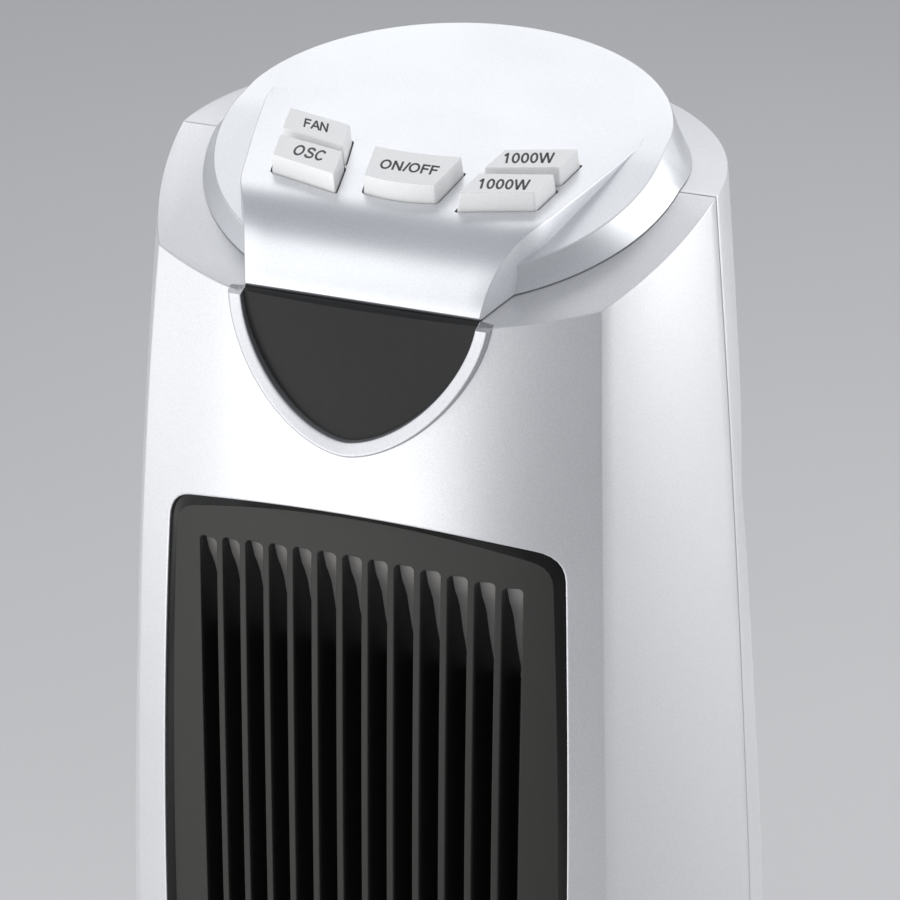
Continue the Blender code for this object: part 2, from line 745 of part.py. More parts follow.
def slot_outline(x, low, high, width):
    """An upright slot with round ends."""
    radius = width / 2
    points = []
    for i in range(SLOT_END_STEPS + 1):
        angle = math.pi * i / SLOT_END_STEPS
        points.append((x + radius * math.cos(angle), high - radius + radius * math.sin(angle)))
    for i in range(SLOT_END_STEPS + 1):
        angle = math.pi + math.pi * i / SLOT_END_STEPS
        points.append((x + radius * math.cos(angle), low + radius + radius * math.sin(angle)))
    return points


def intake_outline(inset=0.0):
    half = INTAKE_HALF_WIDTH - inset
    low, high = INTAKE_BOTTOM + inset, INTAKE_TOP - inset
    return rounded([(half, low), (half, high), (-half, high), (-half, low)], INTAKE_CORNER)


# Shells


def side_wall_y(x, z):
    """Where the side of the front half lies at a distance from the middle."""
    side = front_outline(z)[: SIDE_STEPS + 1]
    return float(np.interp(x, [point[0] for point in reversed(side)], [point[1] for point in reversed(side)]))


def front_post(x, z, name):
    """A boss from the side wall to the seam, for a shell screw."""
    start = side_wall_y(abs(x) + FRONT_POST_RADIUS + WALL / 2, z)
    return cylinder(
        name, FRONT_POST_RADIUS, (x, start, z), (x, POST_END_Y - SEAT_GAP, z), steps=SMALL_ROUND_STEPS,
    )


def screw_places():
    """Names and places of the shell screws."""
    places = []
    for row, z in enumerate(SHELL_SCREW_HEIGHTS):
        for side, x in enumerate((-SHELL_SCREW_X, SHELL_SCREW_X)):
            places.append((2 * row + side + 1, x, z))
    return places


def cap_hole(name):
    """The round hole in the shoulder under the cap."""
    up = Vector((0, -math.sin(FRONT_TILT), math.cos(FRONT_TILT)))
    centre = Vector((0, CAP_CENTRE_Y, front_top(CAP_CENTRE_Y)))
    reach = CAP_BASE_RADIUS / 3
    return cylinder(name, SHOULDER_HOLE_RADIUS, centre - up * reach, centre + up * reach, steps=CAP_STEPS)


def front_shell():
    body = shell("front_shell", front_outline, front_top, FRONT_LEVEL_SHARES, OVERRUN, SILVER)
    rim_shares = [RAISED_SHARE] + FRONT_LEVEL_SHARES[1:6]
    rim = loft("rim_form", shell_rings(front_outline, front_top, rim_shares, -RIM_PROUD))
    rim_depth = front_y(0, SHOULDER_HEIGHT / 2) - OVERRUN
    root = window_side_y(RIM_ROOT_DEPTH)
    outside = front_prism("rim_outline", window_outline(RIM_WIDTH), rim_depth, root)
    combine(rim, outside, "INTERSECT")
    combine(body, rim, "UNION")
    combine(body, front_prism("window_hole", window_outline(), rim_depth, window_side_y(WINDOW_CUT_DEPTH)))
    combine(body, shoulder_cutter("front_shoulder_cut"))
    combine(body, front_prism("outlet_hole", outlet_outline(), rim_depth, DUCT_MOUTH_Y))
    combine(body, cap_hole("front_cap_hole"))
    for number, x, z in screw_places():
        post = front_post(x, z, f"front_post_{number}")
        combine(body, post, "UNION")
        bore_end = (x, POST_END_Y - SHELL_SCREW_LENGTH, z)
        bore = cylinder(
            f"front_bore_{number}", SCREW_RADIUS + SCREW_GAP, bore_end, (x, POST_END_Y + OVERRUN, z),
            steps=SMALL_ROUND_STEPS,
        )
        combine(body, bore)
    return body


def rear_shell():
    body = shell("rear_shell", rear_outline, rear_top, REAR_LEVEL_SHARES, -OVERRUN, SILVER)
    combine(body, shoulder_cutter("rear_shoulder_cut"))
    combine(body, front_prism("intake_hole", intake_outline(), INTAKE_CUT_Y, REAR_DEPTH + OVERRUN))
    combine(body, cap_hole("rear_cap_hole"))
    for number, x, z in screw_places():
        outer_y = rear_y(x, z)
        post = cylinder(
            f"rear_post_{number}", POST_RADIUS, (x, POST_END_Y, z), (x, outer_y - WALL * 2, z),
            steps=SMALL_ROUND_STEPS,
        )
        combine(body, post, "UNION")
        counterbore = cylinder(
            f"counterbore_{number}", COUNTERBORE_RADIUS, (x, COUNTERBORE_FLOOR_Y, z),
            (x, outer_y + OVERRUN, z), steps=SMALL_ROUND_STEPS,
        )
        combine(body, counterbore)
        bore = cylinder(
            f"rear_bore_{number}", SCREW_RADIUS + SCREW_GAP, (x, POST_END_Y - OVERRUN, z),
            (x, COUNTERBORE_FLOOR_Y + OVERRUN, z), steps=SMALL_ROUND_STEPS,
        )
        combine(body, bore)
    return body


def screw(name, head, direction, length):
    """A pan-head screw whose head's underside is at a point."""
    head, direction = Vector(head), Vector(direction)
    body = cylinder(
        name, SCREW_HEAD_RADIUS, head, head - direction * SCREW_HEAD_HEIGHT, STEEL, SMALL_ROUND_STEPS,
    )
    sink = SCREW_HEAD_HEIGHT / 2
    shank = cylinder(
        name + "_shank", SCREW_RADIUS, head - direction * sink, head + direction * length,
        steps=SMALL_ROUND_STEPS,
    )
    return combine(body, shank, "UNION")


def shell_screws():
    for number, x, z in screw_places():
        head = (x, COUNTERBORE_FLOOR_Y + SEAT_GAP, z)
        screw(f"shell_screw_{number}", head, (0, -1, 0), SHELL_SCREW_LENGTH)


# Control cap


def deck_height(y):
    """The plane of the cap's deck."""
    return SHOULDER_HEIGHT + DECK_RISE + y * math.tan(DECK_TILT)


def shelf_height(y):
    """The plane beside the tongue, parallel to the shoulder."""
    return front_top(y) + SHELF_HEIGHT / math.cos(FRONT_TILT)


def tongue_edge(grow=0.0):
    """The tongue's right edge in plan, from its foot to its tip."""
    points = []
    for place_share, width_share in TONGUE_WIDTH_SHARES:
        y = TONGUE_FOOT_Y + (TONGUE_TIP_Y - TONGUE_FOOT_Y) * place_share
        points.append((TONGUE_TIP_HALF * width_share + grow, y))
    return points


def cap_wall_rings(inset):
    """Rings up the cap's flared wall: below the shoulder, on it, at mid height and above the rim."""
    below, foot, middle, above = [], [], [], []
    for i in range(CAP_STEPS):
        angle = 2 * math.pi * (i + 0.5) / CAP_STEPS
        x, y = polar(CAP_BASE_RADIUS - inset, angle, (0, CAP_CENTRE_Y))
        seat = Vector((x, y, front_top(y) if y < 0 else rear_top(y)))
        x, y = polar(SHELF_RADIUS - inset, angle, (0, SHELF_CENTRE_Y))
        if y > DECK_CENTRE_Y:
            x, y = polar(DECK_RADIUS - inset, angle, (0, DECK_CENTRE_Y))
        rim = Vector((x, y, min(shelf_height(y), deck_height(y))))
        inward = Vector((-x, DECK_CENTRE_Y - y, 0)).normalized()
        cove = (seat + rim) / 2 + inward * WALL_COVE
        below.append((seat.x, seat.y, seat.z - OVERRUN * 2))
        foot.append(tuple(seat))
        middle.append(tuple(cove))
        above.append(tuple(rim * 2 - cove))
    return [below, foot, middle, above]


def tongue_form(name, inset):
    """The tongue's upright sides, from below the shoulder to above the deck."""
    edge = tongue_edge(-inset)
    plan = edge + [(-x, y) for x, y in reversed(edge)]
    plan = [(x, max(y, TONGUE_FOOT_Y + inset)) for x, y in plan]
    low = [(x, y, front_top(y) - OVERRUN * 2) for x, y in plan]
    high = [(x, y, SHOULDER_HEIGHT + DECK_RISE * 3) for x, y in plan]
    return loft(name, [low, high])


def cap_form(name, inset, material=None):
    """The cap's solid form, or with an inset the hollow inside it."""
    body = loft(name, cap_wall_rings(inset), material)
    combine(body, shelf_cutter(name + "_shelf_cut", inset))
    combine(body, tongue_form(name + "_tongue", inset), "UNION")
    combine(body, deck_cutter(name + "_deck_cut", inset))
    if not inset:
        combine(body, shoulder_cutter(name + "_seat", SEAT_GAP, above=False))
    return body


def fall_points(inset):
    """The tongue's profile from the deck down to its foot, as (y, z)."""
    begin = deck_height(FALL_START_Y)
    turn_span = math.sin(DECK_TILT + FALL_TURN) - math.sin(DECK_TILT)
    radius = (FALL_START_Y - TONGUE_FOOT_Y) / turn_span
    centre_y = FALL_START_Y + radius * math.sin(DECK_TILT)
    centre_z = begin - radius * math.cos(DECK_TILT)
    points = []
    for i in range(FALL_STEPS + 1):
        angle = DECK_TILT + FALL_TURN * i / FALL_STEPS
        reach = radius - inset
        points.append((centre_y - reach * math.sin(angle), centre_z + reach * math.cos(angle)))
    return points


def deck_cutter(name, inset):
    """Everything above the deck and in front of the tongue's fall."""
    wide = BODY_HALF_WIDTH
    rear = REAR_DEPTH
    high = SHOULDER_HEIGHT + REAR_DEPTH
    lower = inset / math.cos(DECK_TILT)
    fall = fall_points(inset)
    front = fall[-1][0]
    profile = [(rear, deck_height(rear) - lower)] + fall
    profile += [(front, SHOULDER_HEIGHT - REAR_DEPTH), (-REAR_DEPTH, SHOULDER_HEIGHT - REAR_DEPTH)]
    profile += [(-REAR_DEPTH, high), (rear, high)]
    rings = [[(x, y, z) for y, z in profile] for x in (-wide, wide)]
    return loft(name, rings)


def shelf_cutter(name, inset):
    """Everything above the plane beside the tongue."""
    wide = BODY_HALF_WIDTH
    lower = inset / math.cos(FRONT_TILT)
    corners = ((-wide, -wide), (wide, -wide), (wide, wide), (-wide, wide))
    low = [(x, y, shelf_height(y) - lower) for x, y in corners]
    high = [(x, y, shelf_height(wide) + wide) for x, y, _ in low]
    return loft(name, [low, high])


def deck_matrix():
    """The deck's own frame: x to the right, y up the deck to the rear, z out of it."""
    move = Matrix.Translation((0, 0, deck_height(0)))
    return move @ Matrix.Rotation(DECK_TILT, 4, "X")


def key_table():
    """Each key's name and corners in the deck's frame."""
    rear = [(x * KEY_FIELD, y * KEY_FIELD) for x, y in REAR_KEY_SHARES]
    front = [(x * KEY_FIELD, y * KEY_FIELD) for x, y in FRONT_KEY_SHARES]
    power = [(x * KEY_FIELD, y * KEY_FIELD) for x, y in POWER_KEY_SHARES]
    rear_left = [(-x, y) for x, y in reversed(rear)]
    front_left = [(-x, y) for x, y in reversed(front)]
    return [
        ("key_fan", rear_left),
        ("key_oscillate", front_left),
        ("key_power", power),
        ("key_heat_low", rear),
        ("key_heat_high", front),
    ]


def centre_of(points):
    return sum(x for x, _ in points) / len(points), sum(y for _, y in points) / len(points)


def key_outline(corners, grow):
    """The key's outline, grown outwards. The corners run anticlockwise."""
    return offset_path(corners, grow, closed=True)


def key_rings(corners):
    """Rings up a key: its stem, the lip that holds it in, its body and its top."""
    middle = centre_of(corners)
    stem = [
        (middle[0] + (x - middle[0]) * KEY_STEM_SHARE, middle[1] + (y - middle[1]) * KEY_STEM_SHARE)
        for x, y in corners
    ]
    under = -CAP_WALL - SEAT_GAP
    lip_low = under - KEY_LIP_HEIGHT
    stem_low = SWITCH_HEIGHT - CONTROL_BOARD_DROP + KEY_TRAVEL + KEY_STEM_GAP
    lip = key_outline(corners, KEY_LIP)
    levels = [(stem, stem_low), (stem, lip_low), (lip, lip_low), (lip, under), (corners, under)]
    levels += [(corners, 0), (key_outline(corners, -KEY_DRAFT), KEY_PROUD)]
    return [[(x, y, z) for x, y in outline] for outline, z in levels]


def keys(frame):
    for name, corners in key_table():
        key = loft(name, key_rings(corners), KEY_GREY)
        key.parent = frame


def control_cap(frame):
    cap = cap_form("control_cap", 0.0, SILVER)
    combine(cap, cap_form("cap_hollow", CAP_WALL))
    for number, (x_share, y_share) in enumerate(CAP_POST_SHARES):
        x, y = x_share * KEY_FIELD, y_share * KEY_FIELD
        post = cylinder(
            f"cap_post_{number}", CAP_POST_RADIUS, (x, y, -CAP_WALL / 2),
            (x, y, BOARD + SEAT_GAP - CONTROL_BOARD_DROP), steps=SMALL_ROUND_STEPS,
        )
        post.parent = frame
        combine(cap, post, "UNION")
    for name, corners in key_table():
        hole = key_outline(corners, KEY_HOLE_GAP)
        cutter = loft(name + "_hole", [[(x, y, z) for x, y in hole] for z in (-OVERRUN, OVERRUN)])
        cutter.parent = frame
        combine(cap, cutter)
    return cap


def control_board(frame):
    half, depth = KEY_FIELD * CONTROL_BOARD_WIDTH_SHARE, KEY_FIELD * CONTROL_BOARD_DEPTH_SHARE
    low = (-half, -depth, -CONTROL_BOARD_DROP)
    high = (half, 0, BOARD - CONTROL_BOARD_DROP)
    board = box("control_board", low, high, BOARD_GREEN)
    board.parent = frame
    for name, corners in key_table():
        x, y = centre_of(corners)
        base = BOARD + SEAT_GAP - CONTROL_BOARD_DROP
        top = SWITCH_HEIGHT - CONTROL_BOARD_DROP
        switch = box(
            name.replace("key", "switch"), (x - SWITCH_HALF, y - SWITCH_HALF, base),
            (x + SWITCH_HALF, y + SWITCH_HALF, top), BLACK,
        )
        switch.parent = frame


# Display window


def lens_surface_y(x, z):
    """The window's face, bowed like the front at its foot and nearly flat across its top."""
    foot = SHOULDER_HEIGHT - WINDOW_TOP_DROP - WINDOW_DROP
    rise = min(max((z - foot) / WINDOW_DROP, 0), 1)
    flat = LENS_FLATTENING * rise * (1 - (x / WINDOW_HALF_WIDTH) ** 2)
    return front_y(x, z) + LENS_RECESS + flat


def lens_rows():
    """Rows of points down the window's face, the first of them above the shoulder."""
    half, drop = WINDOW_HALF_WIDTH - SEAT_GAP, WINDOW_DROP - SEAT_GAP * 3
    top = SHOULDER_HEIGHT - WINDOW_TOP_DROP
    levels = [(half, SHOULDER_HEIGHT - DECK_RISE), (half, top)]
    quarter = WINDOW_STEPS // 2
    for i in range(1, quarter + 1):
        angle = math.pi / 2 * min(i / quarter, 1 - WINDOW_TIP_SHARE / quarter)
        across, down = math.cos(angle), math.sin(angle)
        levels.append((half * across ** (2 / WINDOW_POWER), top - drop * down ** (2 / WINDOW_POWER)))
    rows = []
    for wide, z in levels:
        steps = [1 - 2 * j / LENS_COLUMNS for j in range(LENS_COLUMNS + 1)]
        rows.append([(wide * step, lens_surface_y(wide * step, z), z) for step in steps])
    return rows


def display_window():
    """The smoked window, which fills the raised rim, with the ledge along its top."""
    lens = sheet("display_window", lens_rows(), LENS_THICKNESS, LENS_BLACK)
    half = WINDOW_HALF_WIDTH - LENS_LEDGE_INSET
    z = front_top(lens_surface_y(0, SHOULDER_HEIGHT - WINDOW_TOP_DROP))
    across = [half * (2 * j / LENS_COLUMNS - 1) for j in range(LENS_COLUMNS + 1)]
    plan = [(x, lens_surface_y(x, z) + LENS_THICKNESS / 2) for x in across]
    rear = window_side_y(LENS_LEDGE_DEPTH)
    plan += [(half, rear), (-half, rear)]
    low = [(x, y, front_top(y) - LENS_THICKNESS) for x, y in plan]
    high = [(x, y, SHOULDER_HEIGHT) for x, y in plan]
    combine(lens, loft("lens_ledge", [low, high]), "UNION")
    return combine(lens, shoulder_cutter("lens_cut"))


def display_board():
    front = front_y(DISPLAY_HALF_WIDTH, DISPLAY_TOP) + DISPLAY_DEPTH
    low = (-DISPLAY_HALF_WIDTH, front, DISPLAY_BOTTOM)
    high = (DISPLAY_HALF_WIDTH, front + BOARD, DISPLAY_TOP)
    box("display_board", low, high, BOARD_GREEN)


# Outlet grille


def grille_y(x, z):
    """The recessed face of the grille, bowed across and a little down its length."""
    share = (OUTLET_TOP - z) / (OUTLET_TOP - OUTLET_BOTTOM)
    off_crest = (share - GRILLE_CREST_SHARE) / GRILLE_CREST_SHARE
    crest = GRILLE_CREST_Y + (GRILLE_TOP_Y - GRILLE_CREST_Y) * off_crest**2
    return crest + GRILLE_RADIUS - math.sqrt(GRILLE_RADIUS**2 - x**2)


def outlet_grille():
    wide = OUTLET_HALF_WIDTH + SEAT_GAP
    inner = OUTLET_TOP_HALF_WIDTH - GRILLE_SIDE_RIM
    across, down = 9, 6
    columns = [wide] + [inner * (1 - 2 * i / across) for i in range(across + 1)] + [-wide]
    shares = [0.0] + [i / down for i in range(down + 1)] + [1.0]
    rows = []
    for i, share in enumerate(shares):
        end = i in (0, len(shares) - 1)
        rim = -SEAT_GAP if end else GRILLE_END_RIM
        row = []
        for j, x in enumerate(columns):
            high, low = outlet_end(x, True) - rim, outlet_end(x, False) + rim
            z = high + (low - high) * share
            raised = end or j in (0, len(columns) - 1)
            row.append((x, front_y(x, z) + GRILLE_RIM_RECESS if raised else grille_y(x, z), z))
        rows.append(row)
    grille = sheet("outlet_grille", rows, GRILLE_THICKNESS, CHARCOAL)
    front = front_y(0, (OUTLET_TOP + OUTLET_BOTTOM) / 2) - OVERRUN
    rear = DUCT_MOUTH_Y + SEAT_GAP
    combine(grille, front_prism("grille_outline", outlet_outline(SEAT_GAP), front, rear), "INTERSECT")
    for i in range(SLOT_COUNT):
        x = SLOT_PITCH * (i - (SLOT_COUNT - 1) / 2)
        arch = SLOT_ARCH * (2 * i / (SLOT_COUNT - 1) - 1) ** 2
        outline = slot_outline(x, SLOT_BOTTOM + arch, SLOT_TOP - arch, SLOT_WIDTH)
        combine(grille, front_prism(f"slot_{i + 1}", outline, front, rear))
    return grille


# Intake at the rear


def intake_sheet(name, inset, edge, thickness, material):
    """A sheet that follows the rear face at a depth below it, trimmed to the intake's outline."""
    half = INTAKE_HALF_WIDTH + OVERRUN
    low, high = INTAKE_BOTTOM - OVERRUN, INTAKE_TOP + OVERRUN
    across, down = 8, 6
    rows = []
    for i in range(down + 1):
        z = low + (high - low) * i / down
        row = []
        for j in range(across + 1):
            x = half * (2 * j / across - 1)
            y = rear_y(x, z)
            inward = Vector((-x / seam_half_width(z) ** 2, -y / rear_y(0, z) ** 2)).normalized() * inset
            row.append((x + inward.x, y + inward.y, z))
        rows.append(row)
    panel = sheet(name, rows, thickness, material, facing=1)
    rim = front_prism(name + "_edge", intake_outline(edge), INTAKE_CUT_Y, REAR_DEPTH + OVERRUN)
    return combine(panel, rim, "INTERSECT")


def intake_grille():
    panel = intake_sheet("intake_grille", INTAKE_RECESS, SLIDE_GAP, INTAKE_THICKNESS, SILVER)
    span = INTAKE_TOP - INTAKE_BOTTOM - 2 * INTAKE_EDGE
    pitch = span / INTAKE_ROWS
    width = 2 * (INTAKE_HALF_WIDTH - INTAKE_EDGE)
    column = (width - 2 * INTAKE_SLOT_GAP) / 3
    for i in range(INTAKE_ROWS):
        z = INTAKE_BOTTOM + INTAKE_EDGE + pitch * (i + 0.5)
        for j in range(3):
            x = -width / 2 + j * (column + INTAKE_SLOT_GAP)
            cutter = box(
                f"intake_slot_{i + 1}_{j + 1}", (x, INTAKE_CUT_Y, z - INTAKE_SLOT_HEIGHT / 2),
                (x + column, REAR_DEPTH + OVERRUN, z + INTAKE_SLOT_HEIGHT / 2),
            )
            combine(panel, cutter)
    return panel


def dust_filter():
    inset = INTAKE_RECESS + INTAKE_THICKNESS + SEAT_GAP
    return intake_sheet("dust_filter", inset, FILTER_EDGE, FILTER_THICKNESS, FILTER_GREY)


# Blower


def blade_outline(angle):
    """One forward-leaning blade in plan."""
    middle = WHEEL_RADIUS - BLADE_DEPTH / 2
    centre = Vector(polar(middle, angle, (0, WHEEL_Y)))
    along = Vector(polar(1, angle + BLADE_LEAN))
    across = Vector((-along.y, along.x))
    half, thin = BLADE_DEPTH / 2, BLADE_THICKNESS / 2
    corners = [(-half, -thin), (half, -thin), (half, thin), (-half, thin)]
    return [tuple(centre + along * a + across * b) for a, b in corners]


def blades():
    """All the blades as one cutter object, from inside one end disc to inside the other."""
    bm = bmesh.new()
    low, high = WHEEL_BOTTOM + DISC_THICKNESS / 2, WHEEL_TOP - DISC_THICKNESS / 2
    for i in range(BLADE_COUNT):
        outline = blade_outline(2 * math.pi * i / BLADE_COUNT)
        rows = [[bm.verts.new((x, y, z)) for x, y in outline] for z in (low, high)]
        count = len(outline)
        for j in range(count):
            k = (j + 1) % count
            bm.faces.new((rows[0][j], rows[0][k], rows[1][k], rows[1][j]))
        bm.faces.new(rows[0])
        bm.faces.new(rows[1])
    return finish("blades", bm)


def blower_wheel():
    bore = SHAFT_RADIUS + SHAFT_GAP
    rim = WHEEL_RADIUS + BLADE_THICKNESS
    centre = (0, WHEEL_Y)
    middle = (WHEEL_BOTTOM + WHEEL_TOP - DISC_THICKNESS) / 2
    wheel = ring("blower_wheel", bore, rim, WHEEL_BOTTOM, WHEEL_BOTTOM + DISC_THICKNESS, BLACK, centre=centre)
    combine(wheel, blades(), "UNION")
    for name, low in (("middle_disc", middle), ("top_disc", WHEEL_TOP - DISC_THICKNESS)):
        disc = ring(name, bore, rim, low, low + DISC_THICKNESS, centre=centre)
        combine(wheel, disc, "UNION")
    return wheel


def blower():
    blower_wheel()
    top = DUCT_HIGH + DUCT_PLATE + BEARING_HEIGHT / 2
    foot, head = (0, WHEEL_Y, SHAFT_BOTTOM), (0, WHEEL_Y, top)
    cylinder("blower_shaft", SHAFT_RADIUS, foot, head, STEEL, SMALL_ROUND_STEPS)
    low = DUCT_HIGH + DUCT_PLATE / 2 - BEARING_HEIGHT / 2
    bore = SHAFT_RADIUS + SHAFT_GAP
    neck, collar = BEARING_RADIUS - DUCT_PLATE, BEARING_RADIUS
    seat = DUCT_HIGH + DUCT_PLATE + SEAT_GAP
    profile = [(bore, low + BEARING_HEIGHT), (collar, low + BEARING_HEIGHT), (collar, seat)]
    profile += [(neck, seat), (neck, low), (bore, low)]
    turned("upper_bearing", profile, STEEL, centre=(0, WHEEL_Y))
    motor_top = DUCT_LOW - SEAT_GAP
    motor = cylinder(
        "blower_motor", MOTOR_RADIUS, (0, WHEEL_Y, MOTOR_BOTTOM), (0, WHEEL_Y, motor_top), STEEL,
    )
    hole = cylinder(
        "motor_bore", bore, (0, WHEEL_Y, SHAFT_BOTTOM - SEAT_GAP), (0, WHEEL_Y, DUCT_LOW + OVERRUN),
        steps=SMALL_ROUND_STEPS,
    )
    combine(motor, hole)


# Air duct


def inner_outline(z):
    """The outline just inside both shells, as its front half and its rear half."""
    inset = WALL + SEAT_GAP * 2
    front = [(x, min(y, -SEAT_GAP)) for x, y in front_outline(z, inset)]
    rear = [(x, y) for x, y in rear_outline(z, inset) if y > WALL]
    return front, rear


def plate_outline(z):
    """A plate's outline, kept clear of the outlet and of the filter."""
    front, rear = inner_outline(z)
    right = [point for point in front if point[0] > 0 and point[1] > DUCT_MOUTH_Y]
    left = [point for point in front if point[0] < 0 and point[1] > DUCT_MOUTH_Y]
    mouth = [(DUCT_HALF_WIDTH, DUCT_MOUTH_Y), (-DUCT_HALF_WIDTH, DUCT_MOUTH_Y)]
    return right + mouth + left + [point for point in rear if point[1] < WHEEL_Y + WHEEL_RADIUS]


def duct_plate(name, low, hole_radius):
    middle = low + DUCT_PLATE / 2
    outline = plate_outline(middle)
    plate = prism(name, outline, low, low + DUCT_PLATE, BLACK)
    hole = cylinder(
        name + "_hole", hole_radius, (0, WHEEL_Y, low - OVERRUN), (0, WHEEL_Y, low + DUCT_PLATE + OVERRUN),
    )
    return combine(plate, hole)


def path_wall(name, path, thickness, low, high, material):
    """An upright wall along a path in plan."""
    right = offset_path(path, thickness / 2)
    left = offset_path(path, -thickness / 2)
    return prism(name, right + list(reversed(left)), low, high, material)


def duct():
    duct_plate("duct_lower_plate", DUCT_LOW, SHAFT_RADIUS + SLIDE_GAP * 2)
    duct_plate("duct_upper_plate", DUCT_HIGH, BEARING_RADIUS - DUCT_PLATE + SEAT_GAP)
    low, high = DUCT_LOW + DUCT_PLATE + SEAT_GAP, DUCT_HIGH - SEAT_GAP
    scroll = []
    for i in range(SCROLL_STEPS + 1):
        t = i / SCROLL_STEPS
        angle = SCROLL_START + (SCROLL_END - SCROLL_START) * t
        reach = WHEEL_RADIUS + SCROLL_GAP + (SCROLL_GROWTH - SCROLL_GAP) * t
        scroll.append(polar(reach, angle, (0, WHEEL_Y)))
    scroll.append((DUCT_HALF_WIDTH, DUCT_MOUTH_Y / 2))
    scroll.append((DUCT_HALF_WIDTH, DUCT_MOUTH_Y))
    path_wall("scroll_wall", scroll, DUCT_WALL, low, high, BLACK)
    nose = Vector(polar(WHEEL_RADIUS + CUTOFF_GAP, CUTOFF_ANGLE, (0, WHEEL_Y)))
    mouth = Vector((-DUCT_HALF_WIDTH, DUCT_MOUTH_Y))
    cutoff = [tuple(nose)]
    for across, down in CUTOFF_SHARES:
        x = nose.x + (mouth.x - nose.x) * across
        cutoff.append((x, nose.y + (mouth.y - nose.y) * down))
    path_wall("cutoff_wall", cutoff, DUCT_WALL, low, high, BLACK)


# Heater


def heater():
    half = HEATER_HALF_WIDTH
    rear = HEATER_FRONT_Y + HEATER_DEPTH
    low = DUCT_LOW + DUCT_PLATE + SEAT_GAP
    high = DUCT_HIGH - SEAT_GAP
    holder_half = DUCT_HALF_WIDTH - DUCT_WALL / 2 - SEAT_GAP
    for name, start in (("heater_holder_bottom", low), ("heater_holder_top", high - HEATER_HOLDER)):
        box(name, (-holder_half, HEATER_FRONT_Y, start), (holder_half, rear, start + HEATER_HOLDER), CERAMIC)
    bottom, top = low + HEATER_HOLDER + SEAT_GAP, high - HEATER_HOLDER - SEAT_GAP
    element = box("heater_element", (-half, HEATER_FRONT_Y, bottom), (half, rear, top), ALUMINIUM)
    pitch = 2 * half / HEATER_RIBS
    bar = pitch * HEATER_BAR_SHARE
    for i in range(HEATER_RIBS):
        x = -half + pitch * i + bar / 2
        cutter = box(
            f"heater_groove_{i + 1}", (x, HEATER_FRONT_Y - OVERRUN, bottom + bar),
            (x + pitch - bar, HEATER_FRONT_Y + HEATER_GROOVE_DEPTH, top - bar),
        )
        combine(element, cutter)
    seat = DUCT_HIGH + DUCT_PLATE + SEAT_GAP
    y = HEATER_FRONT_Y + HEATER_DEPTH / 2
    cylinder(
        "thermal_cutout", CUTOUT_RADIUS, (CUTOUT_X, y, seat), (CUTOUT_X, y, seat + CUTOUT_HEIGHT), STEEL,
        SMALL_ROUND_STEPS,
    )


# Turntable


def involute(angle):
    return math.tan(angle) - angle


def gear_outline(teeth, shown, start, centre=(0, 0)):
    """A spur gear's outline in plan, with its first teeth shown and the rest left plain."""
    pitch = GEAR_MODULE * teeth / 2
    base = pitch * math.cos(GEAR_PRESSURE)
    tip = pitch + GEAR_MODULE * ADDENDUM_SHARE
    root = pitch - GEAR_MODULE * DEDENDUM_SHARE
    half_tooth = math.pi / (2 * teeth) - GEAR_BACKLASH / (4 * pitch)
    step = 2 * math.pi / teeth
    flank = []
    for radius in (max(base, root), pitch, tip):
        lean = math.acos(min(1, base / radius))
        flank.append((radius, half_tooth + involute(GEAR_PRESSURE) - involute(lean)))
    points = []
    for i in range(teeth):
        middle = start + (i - (shown - 1) / 2) * step
        if i >= shown:
            points.append(polar(root, middle, centre))
            continue
        points.append(polar(root, middle - flank[0][1] - step / 12, centre))
        points.extend(polar(radius, middle - angle, centre) for radius, angle in flank)
        points.extend(polar(radius, middle + angle, centre) for radius, angle in reversed(flank))
        points.append(polar(root, middle + flank[0][1] + step / 12, centre))
    return points


def turntable():
    low = WELL_FLOOR + SEAT_GAP
    gear = prism(
        "oscillation_gear", gear_outline(GEAR_TEETH, GEAR_SECTOR_TEETH, math.pi / 2), low,
        low + GEAR_THICKNESS, WHITE_NYLON,
    )
    under, over = (0, 0, low - OVERRUN), (0, 0, low + GEAR_THICKNESS + OVERRUN)
    combine(gear, cylinder("gear_bore", GEAR_BORE_RADIUS, under, over))
    distance = GEAR_MODULE * (GEAR_TEETH + PINION_TEETH) / 2
    centre = (0, distance)
    pinion_low = low + PINION_LIFT
    teeth = gear_outline(PINION_TEETH, PINION_TEETH, -math.pi / 2, centre)
    pinion = prism("oscillation_pinion", teeth, pinion_low, pinion_low + GEAR_THICKNESS, WHITE_NYLON)
    top = BODY_BOTTOM + FLOOR_THICKNESS + OSC_MOTOR_HEIGHT / 3
    shaft = cylinder(
        "pinion_shaft", PINION_SHAFT_RADIUS, (*centre, pinion_low + GEAR_THICKNESS / 2), (*centre, top),
        steps=SMALL_ROUND_STEPS,
    )
    combine(pinion, shaft, "UNION")
    ring("thrust_ring", RING_INNER, RING_OUTER, low, BODY_BOTTOM - SEAT_GAP, WHITE_NYLON, BIG_ROUND_STEPS)
    tower_floor(centre)
    motor_low = BODY_BOTTOM + FLOOR_THICKNESS + SEAT_GAP
    motor = cylinder(
        "oscillation_motor", OSC_MOTOR_RADIUS, (*centre, motor_low), (*centre, motor_low + OSC_MOTOR_HEIGHT),
        STEEL,
    )
    hole = cylinder(
        "osc_motor_bore", PINION_SHAFT_RADIUS + SHAFT_GAP, (*centre, motor_low - OVERRUN),
        (*centre, top + SEAT_GAP), steps=SMALL_ROUND_STEPS,
    )
    combine(motor, hole)
    high = WELL_FLOOR - BASE_WALL - SEAT_GAP
    ring("pivot_retainer", HUB_RADIUS + SEAT_GAP, RETAINER_RADIUS, high - RETAINER_HEIGHT, high, STEEL)


